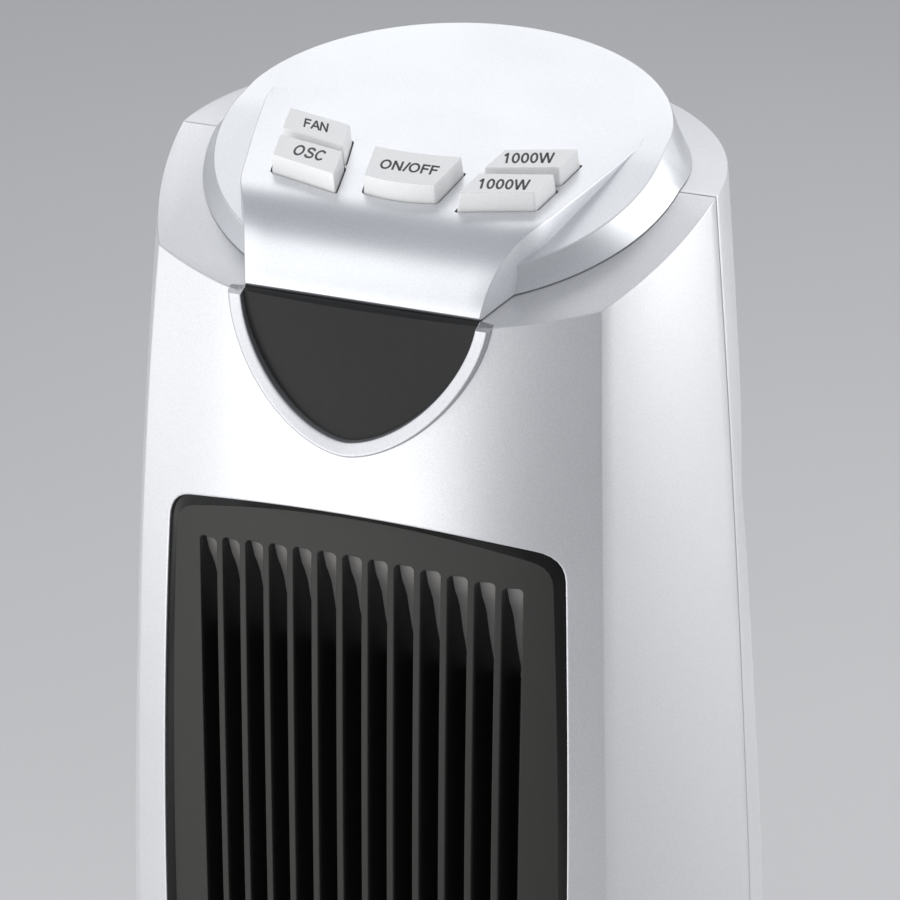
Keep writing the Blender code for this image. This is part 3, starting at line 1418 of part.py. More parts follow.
def tower_floor(pinion_centre):
    """The plate that closes the tower, with the hub it turns on."""
    low, high = BODY_BOTTOM, BODY_BOTTOM + FLOOR_THICKNESS
    front, rear = inner_outline(high)
    floor = prism("tower_floor", front + rear, low, high, BLACK)
    hub = cylinder("hub", HUB_RADIUS, (0, 0, HUB_BOTTOM), (0, 0, low + FLOOR_THICKNESS / 2))
    combine(floor, hub, "UNION")
    under, over = (0, 0, HUB_BOTTOM - OVERRUN), (0, 0, high + OVERRUN)
    combine(floor, cylinder("hub_bore", HUB_BORE_RADIUS, under, over))
    pinion_hole = cylinder(
        "pinion_hole", PINION_SHAFT_RADIUS + SLIDE_GAP, (*pinion_centre, low - OVERRUN),
        (*pinion_centre, high + OVERRUN), steps=SMALL_ROUND_STEPS,
    )
    combine(floor, pinion_hole)


# Base


def base_places():
    """Angles of the four feet and of the four base screws."""
    feet = [math.pi / 4 + i * math.pi / 2 for i in range(4)]
    screws = [i * math.pi / 2 + math.pi / 8 for i in range(4)]
    return feet, screws


def base_cover():
    outside = [(BASE_RADIUS * r, BASE_TOP * h) for r, h in BASE_SHARES]
    outside += [(BASE_RADIUS, BASE_FOOT)]
    shoulder = [(HUB_RADIUS + HUB_GAP, WELL_FLOOR), (WELL_RADIUS, WELL_FLOOR), (WELL_RADIUS, BASE_TOP)]
    shoulder += [(LIP_RADIUS, BASE_TOP)]
    inside = [(radius - BASE_WALL, height) for radius, height in reversed(outside[1:])]
    under = WELL_FLOOR - BASE_WALL
    inside += [(LIP_RADIUS - BASE_WALL, BASE_TOP - BASE_WALL)]
    inside += [(WELL_RADIUS + BASE_WALL, BASE_TOP - BASE_WALL), (WELL_RADIUS + BASE_WALL, under)]
    inside += [(HUB_RADIUS + HUB_GAP, under)]
    cover = turned("base_cover", shoulder + outside + inside, SILVER, BIG_ROUND_STEPS)
    boss_low = BASE_FOOT + PLATE_THICKNESS + SEAT_GAP
    for number, angle in enumerate(base_places()[1], 1):
        x, y = polar(BASE_BOSS_CIRCLE, angle)
        boss = cylinder(
            f"base_boss_{number}", BASE_BOSS_RADIUS, (x, y, boss_low), (x, y, WELL_FLOOR - BASE_WALL / 2),
            steps=SMALL_ROUND_STEPS,
        )
        combine(cover, boss, "UNION")
        bore = cylinder(
            f"base_bore_{number}", SCREW_RADIUS + SCREW_GAP, (x, y, boss_low - OVERRUN),
            (x, y, boss_low + SCREW_LENGTH), steps=SMALL_ROUND_STEPS,
        )
        combine(cover, bore)
    gland_hole = cylinder(
        "gland_hole", GLAND_RADIUS + SEAT_GAP, (0, BASE_RADIUS - BASE_WALL - OVERRUN, GLAND_HEIGHT),
        (0, BASE_RADIUS + OVERRUN, GLAND_HEIGHT), steps=SMALL_ROUND_STEPS,
    )
    return combine(cover, gland_hole)


def cord_gland():
    """The bush where the mains lead enters the base."""
    outer = BASE_RADIUS - GLAND_INSET
    inner = outer - GLAND_LENGTH
    gland = cylinder(
        "cord_gland", GLAND_RADIUS, (0, inner, GLAND_HEIGHT), (0, outer, GLAND_HEIGHT), RUBBER,
        SMALL_ROUND_STEPS,
    )
    flange_y = math.sqrt((BASE_RADIUS - BASE_WALL) ** 2 - GLAND_FLANGE_RADIUS**2) - SEAT_GAP - BASE_WALL
    flange = cylinder(
        "gland_flange", GLAND_FLANGE_RADIUS, (0, flange_y - BASE_WALL, GLAND_HEIGHT),
        (0, flange_y, GLAND_HEIGHT), steps=SMALL_ROUND_STEPS,
    )
    combine(gland, flange, "UNION")
    bore = cylinder(
        "gland_bore", GLAND_BORE, (0, inner - OVERRUN * 2, GLAND_HEIGHT), (0, outer + OVERRUN, GLAND_HEIGHT),
        steps=SMALL_ROUND_STEPS,
    )
    return combine(gland, bore)


def base_plate():
    low, high = BASE_FOOT, BASE_FOOT + PLATE_THICKNESS
    radius = BASE_RADIUS - BASE_WALL - SEAT_GAP
    plate = cylinder("base_plate", radius, (0, 0, low), (0, 0, high), BLACK, BIG_ROUND_STEPS)
    feet, screws = base_places()
    for number, angle in enumerate(screws, 1):
        x, y = polar(BASE_BOSS_CIRCLE, angle)
        hole = cylinder(
            f"plate_hole_{number}", SCREW_RADIUS + SCREW_GAP, (x, y, low - OVERRUN), (x, y, high + OVERRUN),
            steps=SMALL_ROUND_STEPS,
        )
        combine(plate, hole)
        screw(f"base_screw_{number}", (x, y, low - SEAT_GAP), (0, 0, 1), SCREW_LENGTH)
    for number, angle in enumerate(feet, 1):
        x, y = polar(FOOT_CIRCLE, angle)
        cylinder(f"rubber_foot_{number}", FOOT_RADIUS, (x, y, 0), (x, y, low - SEAT_GAP), RUBBER)
    x, y = polar(PLUNGER_CIRCLE, -math.pi / 4)
    hole = cylinder(
        "plunger_hole", PLUNGER_RADIUS + SLIDE_GAP, (x, y, low - OVERRUN), (x, y, high + OVERRUN),
        steps=SMALL_ROUND_STEPS,
    )
    combine(plate, hole)
    ring(
        "ballast_weight", BALLAST_BORE, BALLAST_RADIUS, high + SEAT_GAP, high + SEAT_GAP + BALLAST_HEIGHT,
        STEEL, BIG_ROUND_STEPS,
    )


def tip_over_switch():
    """The plunger that the floor holds up, and the switch that it presses."""
    x, y = polar(PLUNGER_CIRCLE, -math.pi / 4)
    lip_low = BASE_FOOT + PLATE_THICKNESS + PLUNGER_TRAVEL + SEAT_GAP
    lip_high = lip_low + PLUNGER_LIP
    lip_radius = PLUNGER_RADIUS + PLUNGER_LIP
    profile = [(0, PLUNGER_HEIGHT), (PLUNGER_RADIUS, PLUNGER_HEIGHT), (PLUNGER_RADIUS, lip_high)]
    profile += [(lip_radius, lip_high), (lip_radius, lip_low), (PLUNGER_RADIUS, lip_low)]
    profile += [(PLUNGER_RADIUS, PLUNGER_LIP), (PLUNGER_RADIUS - PLUNGER_LIP, SEAT_GAP), (0, SEAT_GAP)]
    plunger = turned("tip_switch_plunger", profile, WHITE_NYLON, SMALL_ROUND_STEPS, (x, y))
    low, high = PLUNGER_HEIGHT + SEAT_GAP, WELL_FLOOR - BASE_WALL - SEAT_GAP
    half = TIP_SWITCH_HALF
    box("tip_switch", (x - half, y - half, low), (x + half, y + half, high), BLACK)
    return plunger


def build():
    frame = bpy.data.objects.new("deck_frame", None)
    frame.matrix_world = deck_matrix()
    PARTS.objects.link(frame)
    front_shell()
    rear_shell()
    shell_screws()
    control_cap(frame)
    keys(frame)
    control_board(frame)
    display_window()
    display_board()
    outlet_grille()
    intake_grille()
    dust_filter()
    blower()
    duct()
    heater()
    turntable()
    base_cover()
    base_plate()
    cord_gland()
    tip_over_switch()


build()
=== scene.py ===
import math

import bmesh
import bpy
import numpy as np
from mathutils import Matrix, Vector
from mathutils.bvhtree import BVHTree


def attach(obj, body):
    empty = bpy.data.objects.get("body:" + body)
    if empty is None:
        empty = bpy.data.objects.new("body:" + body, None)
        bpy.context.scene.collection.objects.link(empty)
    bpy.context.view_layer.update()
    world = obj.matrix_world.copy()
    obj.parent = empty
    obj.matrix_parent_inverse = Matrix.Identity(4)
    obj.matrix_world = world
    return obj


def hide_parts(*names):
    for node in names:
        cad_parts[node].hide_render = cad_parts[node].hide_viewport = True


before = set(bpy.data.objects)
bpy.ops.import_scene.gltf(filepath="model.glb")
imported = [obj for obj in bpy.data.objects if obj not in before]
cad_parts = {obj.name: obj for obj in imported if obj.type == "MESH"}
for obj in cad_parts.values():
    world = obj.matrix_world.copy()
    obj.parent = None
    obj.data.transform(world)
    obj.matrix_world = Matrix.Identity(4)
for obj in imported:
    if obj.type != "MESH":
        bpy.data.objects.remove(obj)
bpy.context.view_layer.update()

# The tower, with its form as in the CAD model. Sizes are in metres where nothing else is said
SHOULDER = 0.560
BOTTOM = 0.067
HALF_WIDTH = 0.1062
CREASE_WIDTH = 0.0788
CREASE_DEPTH = 0.071
REAR_DEPTH = 0.105
FRONT_RADIUS = 0.125
SIDE_BULGE = 0.0031
WALL = 0.0025
SEAM_GAP = 0.0004
SEAM_ROUND = 0.0005
CREASE_ROUND = 0.0007
ROUND_MIDDLE_SHARE = 0.3
FACE_TRIM_SHARE = 0.9
CASING_EDGE = 0.0003
LIP_RADIUS = 0.0007
OUTLET_LIP_DEPTH = 0.006
INTAKE_LIP_DEPTH = 0.003
OVERRUN = 0.006
FRONT_TILT = math.radians(12.63)
REAR_FALL = math.radians(2.3)

# Shares of the sizes above, by the share of the way down from the shoulder
SEAM_SHARES = [
    (0.0, 0.798), (0.1, 0.840), (0.2, 0.879), (0.3, 0.915), (0.4, 0.948), (0.5, 0.978),
    (0.6, 0.994), (0.7, 1.0), (0.8, 0.992), (0.9, 0.972), (1.0, 0.940),
]
CREASE_WIDTH_SHARES = [
    (0.0, 0.854), (0.1, 0.891), (0.2, 0.923), (0.3, 0.949), (0.4, 0.971), (0.5, 0.985),
    (0.6, 0.995), (0.7, 1.0), (0.8, 0.995), (0.9, 0.980), (1.0, 0.954),
]
CREASE_DEPTH_SHARES = [
    (0.0, 0.807), (0.1, 0.894), (0.2, 0.949), (0.3, 0.980), (0.4, 0.994), (0.5, 1.0),
    (0.6, 1.0), (0.7, 0.994), (0.8, 0.980), (0.9, 0.958), (1.0, 0.927),
]
REAR_SHARES = [
    (0.0, 0.819), (0.1, 0.829), (0.15, 0.817), (0.18, 0.776), (0.21, 0.695), (0.25, 0.757),
    (0.3, 0.800), (0.4, 0.880), (0.5, 0.955), (0.6, 0.990), (0.7, 1.0), (0.8, 0.990),
    (0.9, 0.962), (1.0, 0.924),
]

# Screws in the rear shell, and the hollow posts behind their heads
SCREW_PLACES = [(x, z) for x in (-0.072, 0.072) for z in (0.1, 0.492)]
POST_RADIUS = 0.0055
COUNTERBORE_RADIUS = 0.0039
PILOT_RADIUS = 0.00195
POST_FRONT = 0.010
SCREW_SEAT = 0.014
POST_SUNK = 0.004

# Control cap, with its deck, the shelf round the deck and the tongue that falls over the front
DECK_TILT = math.radians(4.4)
CAP_Y = 0.0027
CAP_RADIUS = 0.0734
CAP_HOLE_RADIUS = 0.066
DECK_RADIUS = 0.0671
DECK_Y = 0.0045
DECK_RISE = 0.00969
SHELF_RADIUS = 0.0675
SHELF_Y = -0.004
SHELF_HEIGHT = 0.009
CAP_WALL = 0.0024
CAP_GAP = 0.0004
CAP_COVE = 0.0003
CAP_OVERRUN = 0.012
BLEND = 0.016
TONGUE_FOOT = -0.0713
TONGUE_TIP = 0.0055
TONGUE_HALF = 0.0592
TONGUE_EDGE = 0.0003
TONGUE_LIFT = 0.0004
TONGUE_SHARES = [(0.0, 0.608), (0.17, 0.70), (0.29, 0.775), (0.52, 0.857), (0.7, 0.915), (1.0, 1.0)]
FALL_START = -0.0456
FALL_TURN = math.radians(70)
MEET_Y = (SHELF_HEIGHT / math.cos(FRONT_TILT) - DECK_RISE) / (math.tan(DECK_TILT) - math.tan(FRONT_TILT))
TONGUE_REAR = MEET_Y + BLEND / 2
FALL_RADIUS = (FALL_START - TONGUE_FOOT) / (math.sin(DECK_TILT + FALL_TURN) - math.sin(DECK_TILT))

# Keys, with heights above the deck
KEY_PROUD = 0.0058
KEY_DRAFT = 0.0005
KEY_GAP = 0.0006
KEY_EDGE = 0.00025
KEY_ROUND = 0.0004
KEY_SKIRT = 0.0009
SKIRT_TOP = -0.0027
SKIRT_FOOT = -0.0041
STEM_FOOT = -0.0072
STEM_SHARE = 0.18
STEM_ROUND = 0.0002
LEAST_ROUND = 0.0002
INK_SUNK = 0.00001
INK_PROUD = 0.00003

# Display window and its raised rim
WINDOW_HALF = 0.036
WINDOW_DROP = 0.0386
WINDOW_TOP = SHOULDER - 0.0149
WINDOW_OVERRUN = 0.012
WINDOW_POWER = 1.68
RIM_WIDTH = 0.0044
RIM_PROUD = 0.002
RIM_CREST = 0.0037
RIM_INNER = 0.0008
RIM_EDGE = 0.0003
RIM_LEG = 0.0268
LENS_RECESS = 0.0012
LENS_FLATTENING = 0.0043
LENS_THICKNESS = 0.0022
LEDGE_HALF = 0.0357
LEDGE_REAR = -0.064
LEDGE_LEVEL = 0.5435

# Outlet and its grille
OUTLET_SHIFT = 0.0011
OUTLET_TOP = 0.4837
OUTLET_BOTTOM = 0.146
OUTLET_ARCH = 0.0126
OUTLET_HALF = 0.0657
OUTLET_END_HALF = 0.0617
OUTLET_CORNER = 0.008
BEVEL_GAP = 0.00025
BEVEL_SIDE = 0.0028
BEVEL_END = 0.0036
BEVEL_CORNER = 0.006
PLATE_Y = -0.0876
PLATE_BOW = 0.0041
PLATE_RADIUS = 0.206
PLATE_MIDDLE_SHARE = 0.52
PLATE_THICKNESS = 0.0022
SLOT_COUNT = 13
SLOT_PITCH = 0.00797
SLOT_WIDTH = 0.0058
SLOT_TOP = 0.4679
SLOT_BOTTOM = 0.163
SLOT_ARCH = 0.005
SLOT_CORNER = 0.0016
SLOT_EDGE = 0.00035
FIN_FRONT_HALF = 0.00075
FIN_REAR_HALF = 0.0006
FIN_DEPTH = 0.019
FIN_BEHIND = 0.0014

# Intake panel
INTAKE_TOP = 0.404
INTAKE_BOTTOM = 0.150
INTAKE_HALF = 0.060
INTAKE_CORNER = 0.010
PANEL_GAP = 0.00045
PANEL_SUNK = 0.0006
PANEL_THICKNESS = 0.002
PANEL_MARGIN = 0.010
PANEL_ROWS = 16
PANEL_COLUMNS = 3
PANEL_COLUMN_GAP = 0.005
PANEL_SLOT_HALF = 0.0035
PANEL_SLOT_ROUND = 0.0034

# Where cuts along Y start and end, and how finely curves are divided
WINDOW_CUT = (-0.13, -0.052)
OUTLET_CUT = (-0.13, -0.062)
PLATE_CUT = (-0.12, -0.06)
REAR_CUT = (0.03, 0.12)
SEAM_POINTS = 2
SIDE_POINTS = 14
ROUND_POINTS = 5
HALF_POINTS = SEAM_POINTS + SIDE_POINTS + ROUND_POINTS
FRONT_U = np.linspace(1, -1, 73)
SETTLE_ROUNDS = 6
SHARP_ANGLE = math.radians(32)


# Mesh helpers


def smooth(table, at):
    """A smooth curve through a table, at one place or at many."""
    places = np.array([row[0] for row in table])
    values = np.array([row[1] for row in table])
    slopes = np.gradient(values, places)
    at = np.asarray(at, float)
    i = np.clip(np.searchsorted(places, at) - 1, 0, len(places) - 2)
    gap = places[i + 1] - places[i]
    t = np.clip((at - places[i]) / gap, 0, 1)
    start = (1 + 2 * t) * (1 - t) ** 2 * values[i] + t * (1 - t) ** 2 * gap * slopes[i]
    return start + t**2 * (3 - 2 * t) * values[i + 1] - t**2 * (1 - t) * gap * slopes[i + 1]


def bend(start, middle, end, t):
    """A place on the curve that leaves start towards middle and reaches end from there."""
    return start * (1 - t) ** 2 + middle * 2 * t * (1 - t) + end * t**2


def mirrored(points):
    """The other half of an outline, in the order that continues it."""
    return [(-x, other) for x, other in reversed(points)]


def quarter(radius, steps):
    """Steps over a rounded edge, each with how far it lies in from the edge's two faces."""
    angles = [math.pi / 2 * k / steps for k in range(steps + 1)]
    return [(radius * (1 - math.sin(a)), radius * (1 - math.cos(a))) for a in angles]


def circle_angles(steps, start=0.0):
    """Angles all the way round, from a share of the first step."""
    return [2 * math.pi * (i + start) / steps for i in range(steps)]


def add_object(name, data, material=None):
    obj = bpy.data.objects.new(name, data)
    bpy.context.scene.collection.objects.link(obj)
    if material is not None:
        data.materials.append(material)
    return obj


def dress(piece, body, node=None):
    """Parents a piece to the empty of the body it rides on, and hides the CAD node that it stands for."""
    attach(piece, body)
    if node is not None:
        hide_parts(node)


def shade(mesh):
    """Smooth shading, with an edge kept sharp where its faces turn by more than SHARP_ANGLE."""
    mesh.shade_smooth()
    mesh.set_sharp_from_angle(angle=SHARP_ANGLE)


def from_bmesh(name, bm, material=None):
    bmesh.ops.recalc_face_normals(bm, faces=bm.faces)
    if bm.calc_volume(signed=True) < 0:
        bmesh.ops.reverse_faces(bm, faces=bm.faces)
    mesh = bpy.data.meshes.new(name)
    bm.to_mesh(mesh)
    bm.free()
    shade(mesh)
    return add_object(name, mesh, material)


def loft(name, rings, material=None, ends=True):
    """A skin through closed rings of points, with flat ends."""
    bm = bmesh.new()
    rows = [[bm.verts.new(tuple(map(float, point))) for point in ring] for ring in rings]
    count = len(rings[0])
    for row, after in zip(rows, rows[1:]):
        for i in range(count):
            j = (i + 1) % count
            bm.faces.new((row[i], row[j], after[j], after[i]))
    if ends:
        bm.faces.new(rows[0])
        bm.faces.new(rows[-1])
    return from_bmesh(name, bm, material)


def sheet(name, rows, thickness, material=None, towards=(0, -1, 0)):
    """A grid of points that is the outer face of a sheet of even thickness."""
    rows = [[Vector(map(float, point)) for point in row] for row in rows]
    count, wide = len(rows), len(rows[0])
    towards = Vector(towards)
    under = []
    for i in range(count):
        line = []
        for j in range(wide):
            along = rows[i][min(j + 1, wide - 1)] - rows[i][max(j - 1, 0)]
            down = rows[min(i + 1, count - 1)][j] - rows[max(i - 1, 0)][j]
            normal = along.cross(down)
            if normal.length == 0:
                normal = towards.copy()
            normal.normalize()
            if normal.dot(towards) < 0:
                normal.negate()
            line.append(rows[i][j] - normal * thickness)
        under.append(line)
    bm = bmesh.new()
    top = [[bm.verts.new(point) for point in row] for row in rows]
    low = [[bm.verts.new(point) for point in row] for row in under]
    for grid in (top, low):
        for row, after in zip(grid, grid[1:]):
            for j in range(wide - 1):
                bm.faces.new((row[j], row[j + 1], after[j + 1], after[j]))
    for j in range(wide - 1):
        for i in (0, -1):
            bm.faces.new((top[i][j], top[i][j + 1], low[i][j + 1], low[i][j]))
    for i in range(count - 1):
        for j in (0, -1):
            bm.faces.new((top[i][j], top[i + 1][j], low[i + 1][j], low[i][j]))
    return from_bmesh(name, bm, material)


def front_prism(name, outline, reach):
    """A solid whose outline is drawn in x and z, and which reaches along Y between two places."""
    front, rear = reach
    return loft(name, [[(x, y, z) for x, z in outline] for y in (rear, front)])


def cylinder(name, radius, start, end, steps):
    start, end = Vector(start), Vector(end)
    along = (end - start).normalized()
    side = along.orthogonal().normalized()
    up = along.cross(side)
    angles = circle_angles(steps)
    return loft(name, [[centre + side * radius * math.cos(a) + up * radius * math.sin(a) for a in angles]
                       for centre in (start, end)])


def evaluated_mesh(obj):
    """An object's mesh with its modifiers applied."""
    graph = bpy.context.evaluated_depsgraph_get()
    mesh = bpy.data.meshes.new_from_object(obj.evaluated_get(graph))
    obj.modifiers.clear()
    return mesh


def boolean(target, tools, operation="DIFFERENCE"):
    """Cuts a piece with exact Booleans, or keeps only what lies inside the tools."""
    for tool in tools:
        modifier = target.modifiers.new("cut", "BOOLEAN")
        modifier.operation = operation
        modifier.solver = "EXACT"
        modifier.object = tool
    mesh = evaluated_mesh(target)
    materials = list(target.data.materials)
    target.data = mesh
    mesh.materials.clear()
    for material in materials:
        mesh.materials.append(material)
    for tool in tools:
        bpy.data.objects.remove(tool, do_unlink=True)
    for polygon in mesh.polygons:
        polygon.material_index = 0


def even_faces(obj):
    """Keeps large faces flat in their shading beside finely rounded edges."""
    modifier = obj.modifiers.new("even", "WEIGHTED_NORMAL")
    modifier.weight = 100
    modifier.keep_sharp = True
    obj.data = evaluated_mesh(obj)


def join(name, pieces):
    """Several objects as one mesh."""
    bm = bmesh.new()
    for piece in pieces:
        bm.from_mesh(piece.data)
    mesh = bpy.data.meshes.new(name)
    bm.to_mesh(mesh)
    bm.free()
    shade(mesh)
    obj = add_object(name, mesh, pieces[0].data.materials[0])
    for piece in pieces:
        bpy.data.objects.remove(piece, do_unlink=True)
    return obj


def surface_of(rows):
    """What keep_normals needs of a clean surface: a search tree, its points, triangles and normals."""
    points = [Vector(map(float, point)) for row in rows for point in row]
    wide = len(rows[0])
    faces = []
    for i in range(len(rows) - 1):
        for j in range(wide - 1):
            a = i * wide + j
            faces.append((a, a + 1, a + wide + 1))
            faces.append((a, a + wide + 1, a + wide))
    mesh = bpy.data.meshes.new("reference")
    mesh.from_pydata(points, [], faces)
    normals = [Vector(vertex.normal) for vertex in mesh.vertices]
    bpy.data.meshes.remove(mesh)
    return BVHTree.FromPolygons(points, faces), points, faces, normals


def keep_normals(obj, grids, reach=0.00004, agree=0.96):
    """Gives a cut mesh the smooth normals of the clean surfaces that it was cut from."""
    surfaces = [surface_of(rows) for rows in grids]
    mesh = obj.data
    shade(mesh)
    corners = [Vector(item.vector) for item in mesh.corner_normals]
    for polygon in mesh.polygons:
        for tree, points, faces, normals in surfaces:
            place, normal, _, _ = tree.find_nearest(polygon.center, reach)
            if place is None or abs(normal.dot(polygon.normal)) < agree:
                continue
            sign = 1 if normal.dot(polygon.normal) > 0 else -1
            for loop in polygon.loop_indices:
                point = mesh.vertices[mesh.loops[loop].vertex_index].co
                near, _, face, _ = tree.find_nearest(point, reach * 4)
                if near is None:
                    continue
                shares = barycentric(near, *(points[k] for k in faces[face]))
                mixed = [normals[k] * share for k, share in zip(faces[face], shares)]
                corners[loop] = (mixed[0] + mixed[1] + mixed[2]).normalized() * sign
            break
    mesh.normals_split_custom_set(corners)


def barycentric(point, a, b, c):
    """The shares of a triangle's three corners at a point on it."""
    first, second, third = b - a, c - a, point - a
    d00, d01, d11 = first.dot(first), first.dot(second), second.dot(second)
    d20, d21 = third.dot(first), third.dot(second)
    scale = d00 * d11 - d01 * d01
    if abs(scale) < 1e-24:
        return 1.0, 0.0, 0.0
    v = (d11 * d20 - d01 * d21) / scale
    w = (d00 * d21 - d01 * d20) / scale
    return 1 - v - w, v, w


def offset(points, distance, closed=False):
    """Moves an outline to its right by a distance."""
    points = np.array(points, float)
    if closed:
        run = np.roll(points, -1, 0) - np.roll(points, 1, 0)
    else:
        run = np.gradient(points, axis=0)
    run /= np.linalg.norm(run, axis=1)[:, None]
    normal = np.stack([run[:, 1], -run[:, 0]], 1)
    return points + normal * distance


def right_of(start, end):
    """The direction square to a side, on its right."""
    run = (Vector(end) - Vector(start)).normalized()
    return Vector((run.y, -run.x))


def mitred(here, sides, distance):
    """A corner moved outward so that both its sides move by a distance."""
    normal = (sides[0] + sides[-1]).normalized()
    return tuple(Vector(here) + normal * (distance / normal.dot(sides[0])))


def offset_open(points, distance):
    """Moves an open outline to its right by a distance, with mitred corners."""
    sides = [right_of(a, b) for a, b in zip(points, points[1:])]
    return [mitred(point, sides[max(i - 1, 0):i + 1], distance) for i, point in enumerate(points)]


def grown(corners, distance):
    """A polygon grown by a distance, with mitred corners. The corners run anticlockwise."""
    sides = [right_of(a, b) for a, b in zip(corners, corners[1:] + corners[:1])]
    return [mitred(corner, (sides[i - 1], sides[i]), distance) for i, corner in enumerate(corners)]


def rounded(corners, radius, steps=5, most=0.45):
    """A polygon with its corners rounded, each over no more than a share of its sides."""
    points = []
    count = len(corners)
    for i, corner in enumerate(corners):
        here = Vector(corner)
        back, ahead = Vector(corners[i - 1]) - here, Vector(corners[(i + 1) % count]) - here
        reach = min(radius, back.length * most, ahead.length * most)
        start, end = here + back.normalized() * reach, here + ahead.normalized() * reach
        points.extend(tuple(bend(start, here, end, j / steps)) for j in range(steps + 1))
    return points


def run_lengths(points):
    """How far each point lies along the line through them."""
    return np.r_[0, np.cumsum(np.linalg.norm(np.diff(points, axis=0), axis=1))]


def evenly(points, count):
    """A closed outline with its points spaced evenly."""
    points = np.array(points, float)
    points = np.vstack([points, points[:1]])
    lengths = run_lengths(points)
    at = np.linspace(0, lengths[-1], count + 1)
    return np.stack([np.interp(at, lengths, points[:, k]) for k in range(2)], 1)[:-1]


def grid_of(rings):
    return [[tuple(point) for point in ring] for ring in rings]


def closed_grid_of(rings):
    return grid_of([ring + [ring[0]] for ring in rings])


# The outer form of the tower, as in the CAD model


def down(z):
    return (SHOULDER - np.asarray(z, float)) / (SHOULDER - BOTTOM)


def seam_half(z):
    return HALF_WIDTH * smooth(SEAM_SHARES, down(z))


def crease(z):
    """The half width and the depth at which the front's side turns into its face."""
    half = CREASE_WIDTH * smooth(CREASE_WIDTH_SHARES, down(z))
    return half, CREASE_DEPTH * smooth(CREASE_DEPTH_SHARES, down(z))


def front_y(x, z):
    half, depth = crease(z)
    x = np.asarray(x, float)
    return -depth - np.sqrt(FRONT_RADIUS**2 - x**2) + np.sqrt(FRONT_RADIUS**2 - half**2)


def rear_y(x, z):
    depth = REAR_DEPTH * smooth(REAR_SHARES, down(z))
    return depth * np.sqrt(np.maximum(0, 1 - (np.asarray(x, float) / seam_half(z)) ** 2))


def rear_y_turned(x, z):
    return -rear_y(x, z)


def front_top(y):
    return SHOULDER + y * math.tan(FRONT_TILT)


def rear_top(y):
    return SHOULDER - y * math.tan(REAR_FALL)


def shoulder_top(y):
    return front_top(y) if y < 0 else rear_top(y)


def front_section(z):
    """The front half's plan section, right seam to left seam, where z has one value for each point."""
    z = np.broadcast_to(np.asarray(z, float), (2 * HALF_POINTS + len(FRONT_U),))
    face_trim = CREASE_ROUND * FACE_TRIM_SHARE

    def side_at(t, height):
        seam = seam_half(height)
        half, depth = crease(height)
        chord = np.stack([half - seam, -depth + 0 * seam], 1)
        outward = np.stack([-chord[:, 1], chord[:, 0]], 1)
        outward /= np.linalg.norm(outward, axis=1)[:, None]
        start = np.stack([seam, 0 * seam - SEAM_GAP / 2], 1)
        return start + chord * t[:, None] + outward * (SIDE_BULGE * 4 * t * (1 - t))[:, None]

    def face_at(u, height):
        half, _ = crease(height)
        x = u * (half - face_trim)
        return np.stack([x, front_y(x, height)], 1)

    def half_of(heights):
        """From the seam to the end of the crease's rounding."""
        first, last = SEAM_ROUND / CREASE_DEPTH, 1 - CREASE_ROUND / CREASE_DEPTH
        t = first + (last - first) * np.linspace(0, 1, SIDE_POINTS)
        seam_z, side_z, round_z = np.split(heights, (SEAM_POINTS, SEAM_POINTS + SIDE_POINTS))
        inward = SEAM_ROUND * np.array([[1, 0], [ROUND_MIDDLE_SHARE, ROUND_MIDDLE_SHARE]])
        at_seam = side_at(np.zeros(SEAM_POINTS), seam_z) - inward
        half, depth = crease(round_z)
        start = side_at(np.full(ROUND_POINTS, last), round_z)
        end = face_at(np.ones(ROUND_POINTS), round_z)
        k = ((np.arange(ROUND_POINTS) + 1) / (ROUND_POINTS + 1))[:, None]
        return np.vstack([at_seam, side_at(t, side_z), bend(start, np.stack([half, -depth], 1), end, k)])

    right = half_of(z[:HALF_POINTS])
    face = face_at(FRONT_U, z[HALF_POINTS:-HALF_POINTS])
    left = half_of(z[::-1][:HALF_POINTS])[::-1] * np.array([[-1, 1]])
    return np.vstack([right, face, left])


def rear_section(z, steps=120, past_end=0.006):
    """The rear half's plan section, left seam to right seam."""
    z = np.broadcast_to(np.asarray(z, float), (steps + 1 + 2 * SEAM_POINTS,))
    angles = np.linspace(math.pi, 0, steps + 1)
    angles[0] -= past_end
    angles[-1] += past_end
    seam = seam_half(z)
    depth = REAR_DEPTH * smooth(REAR_SHARES, down(z))
    middle = SEAM_GAP / 2
    near = SEAM_ROUND * ROUND_MIDDLE_SHARE
    body = np.stack([seam[2:-2] * np.cos(angles), middle + depth[2:-2] * np.sin(angles)], 1)
    first = np.array([[-seam[0] + SEAM_ROUND, middle], [-seam[1] + near, middle + near]])
    last = np.array([[seam[-2] - near, middle + near], [seam[-1] - SEAM_ROUND, middle]])
    return np.vstack([first, body, last])


def shell_rings(section, top, shares):
    """Rings down half of the tower, each at one share of the way from the shoulder."""
    rings = []
    for share in shares:
        z = SHOULDER
        for _ in range(SETTLE_ROUNDS):
            points = section(z)
            high = top(points[:, 1])
            z = high + (BOTTOM - high) * share
        rings.append(np.column_stack([points, z]))
    return rings


def hollow_rings(section, top, shares, keep, past_seam):
    """Rings of the space inside a casing, on the points of its section that aren't part of a rounding."""
    rings = []
    for share in shares:
        z = SHOULDER
        for _ in range(SETTLE_ROUNDS):
            points = section(z)
            moved = np.array(offset_open(points[keep].tolist(), WALL))
            spread = np.interp(np.arange(len(points)), keep, np.arange(len(keep)))
            nearest = moved[np.clip(np.round(spread).astype(int), 0, len(keep) - 1)]
            high = top(nearest[:, 1]) - WALL
            z = high + (BOTTOM - OVERRUN - high) * share
        ring = np.column_stack([moved, z[keep]])
        ring[0, 1] = ring[-1, 1] = past_seam
        ring[0, 0], ring[-1, 0] = ring[1, 0], ring[-2, 0]
        rings.append(ring)
    return rings


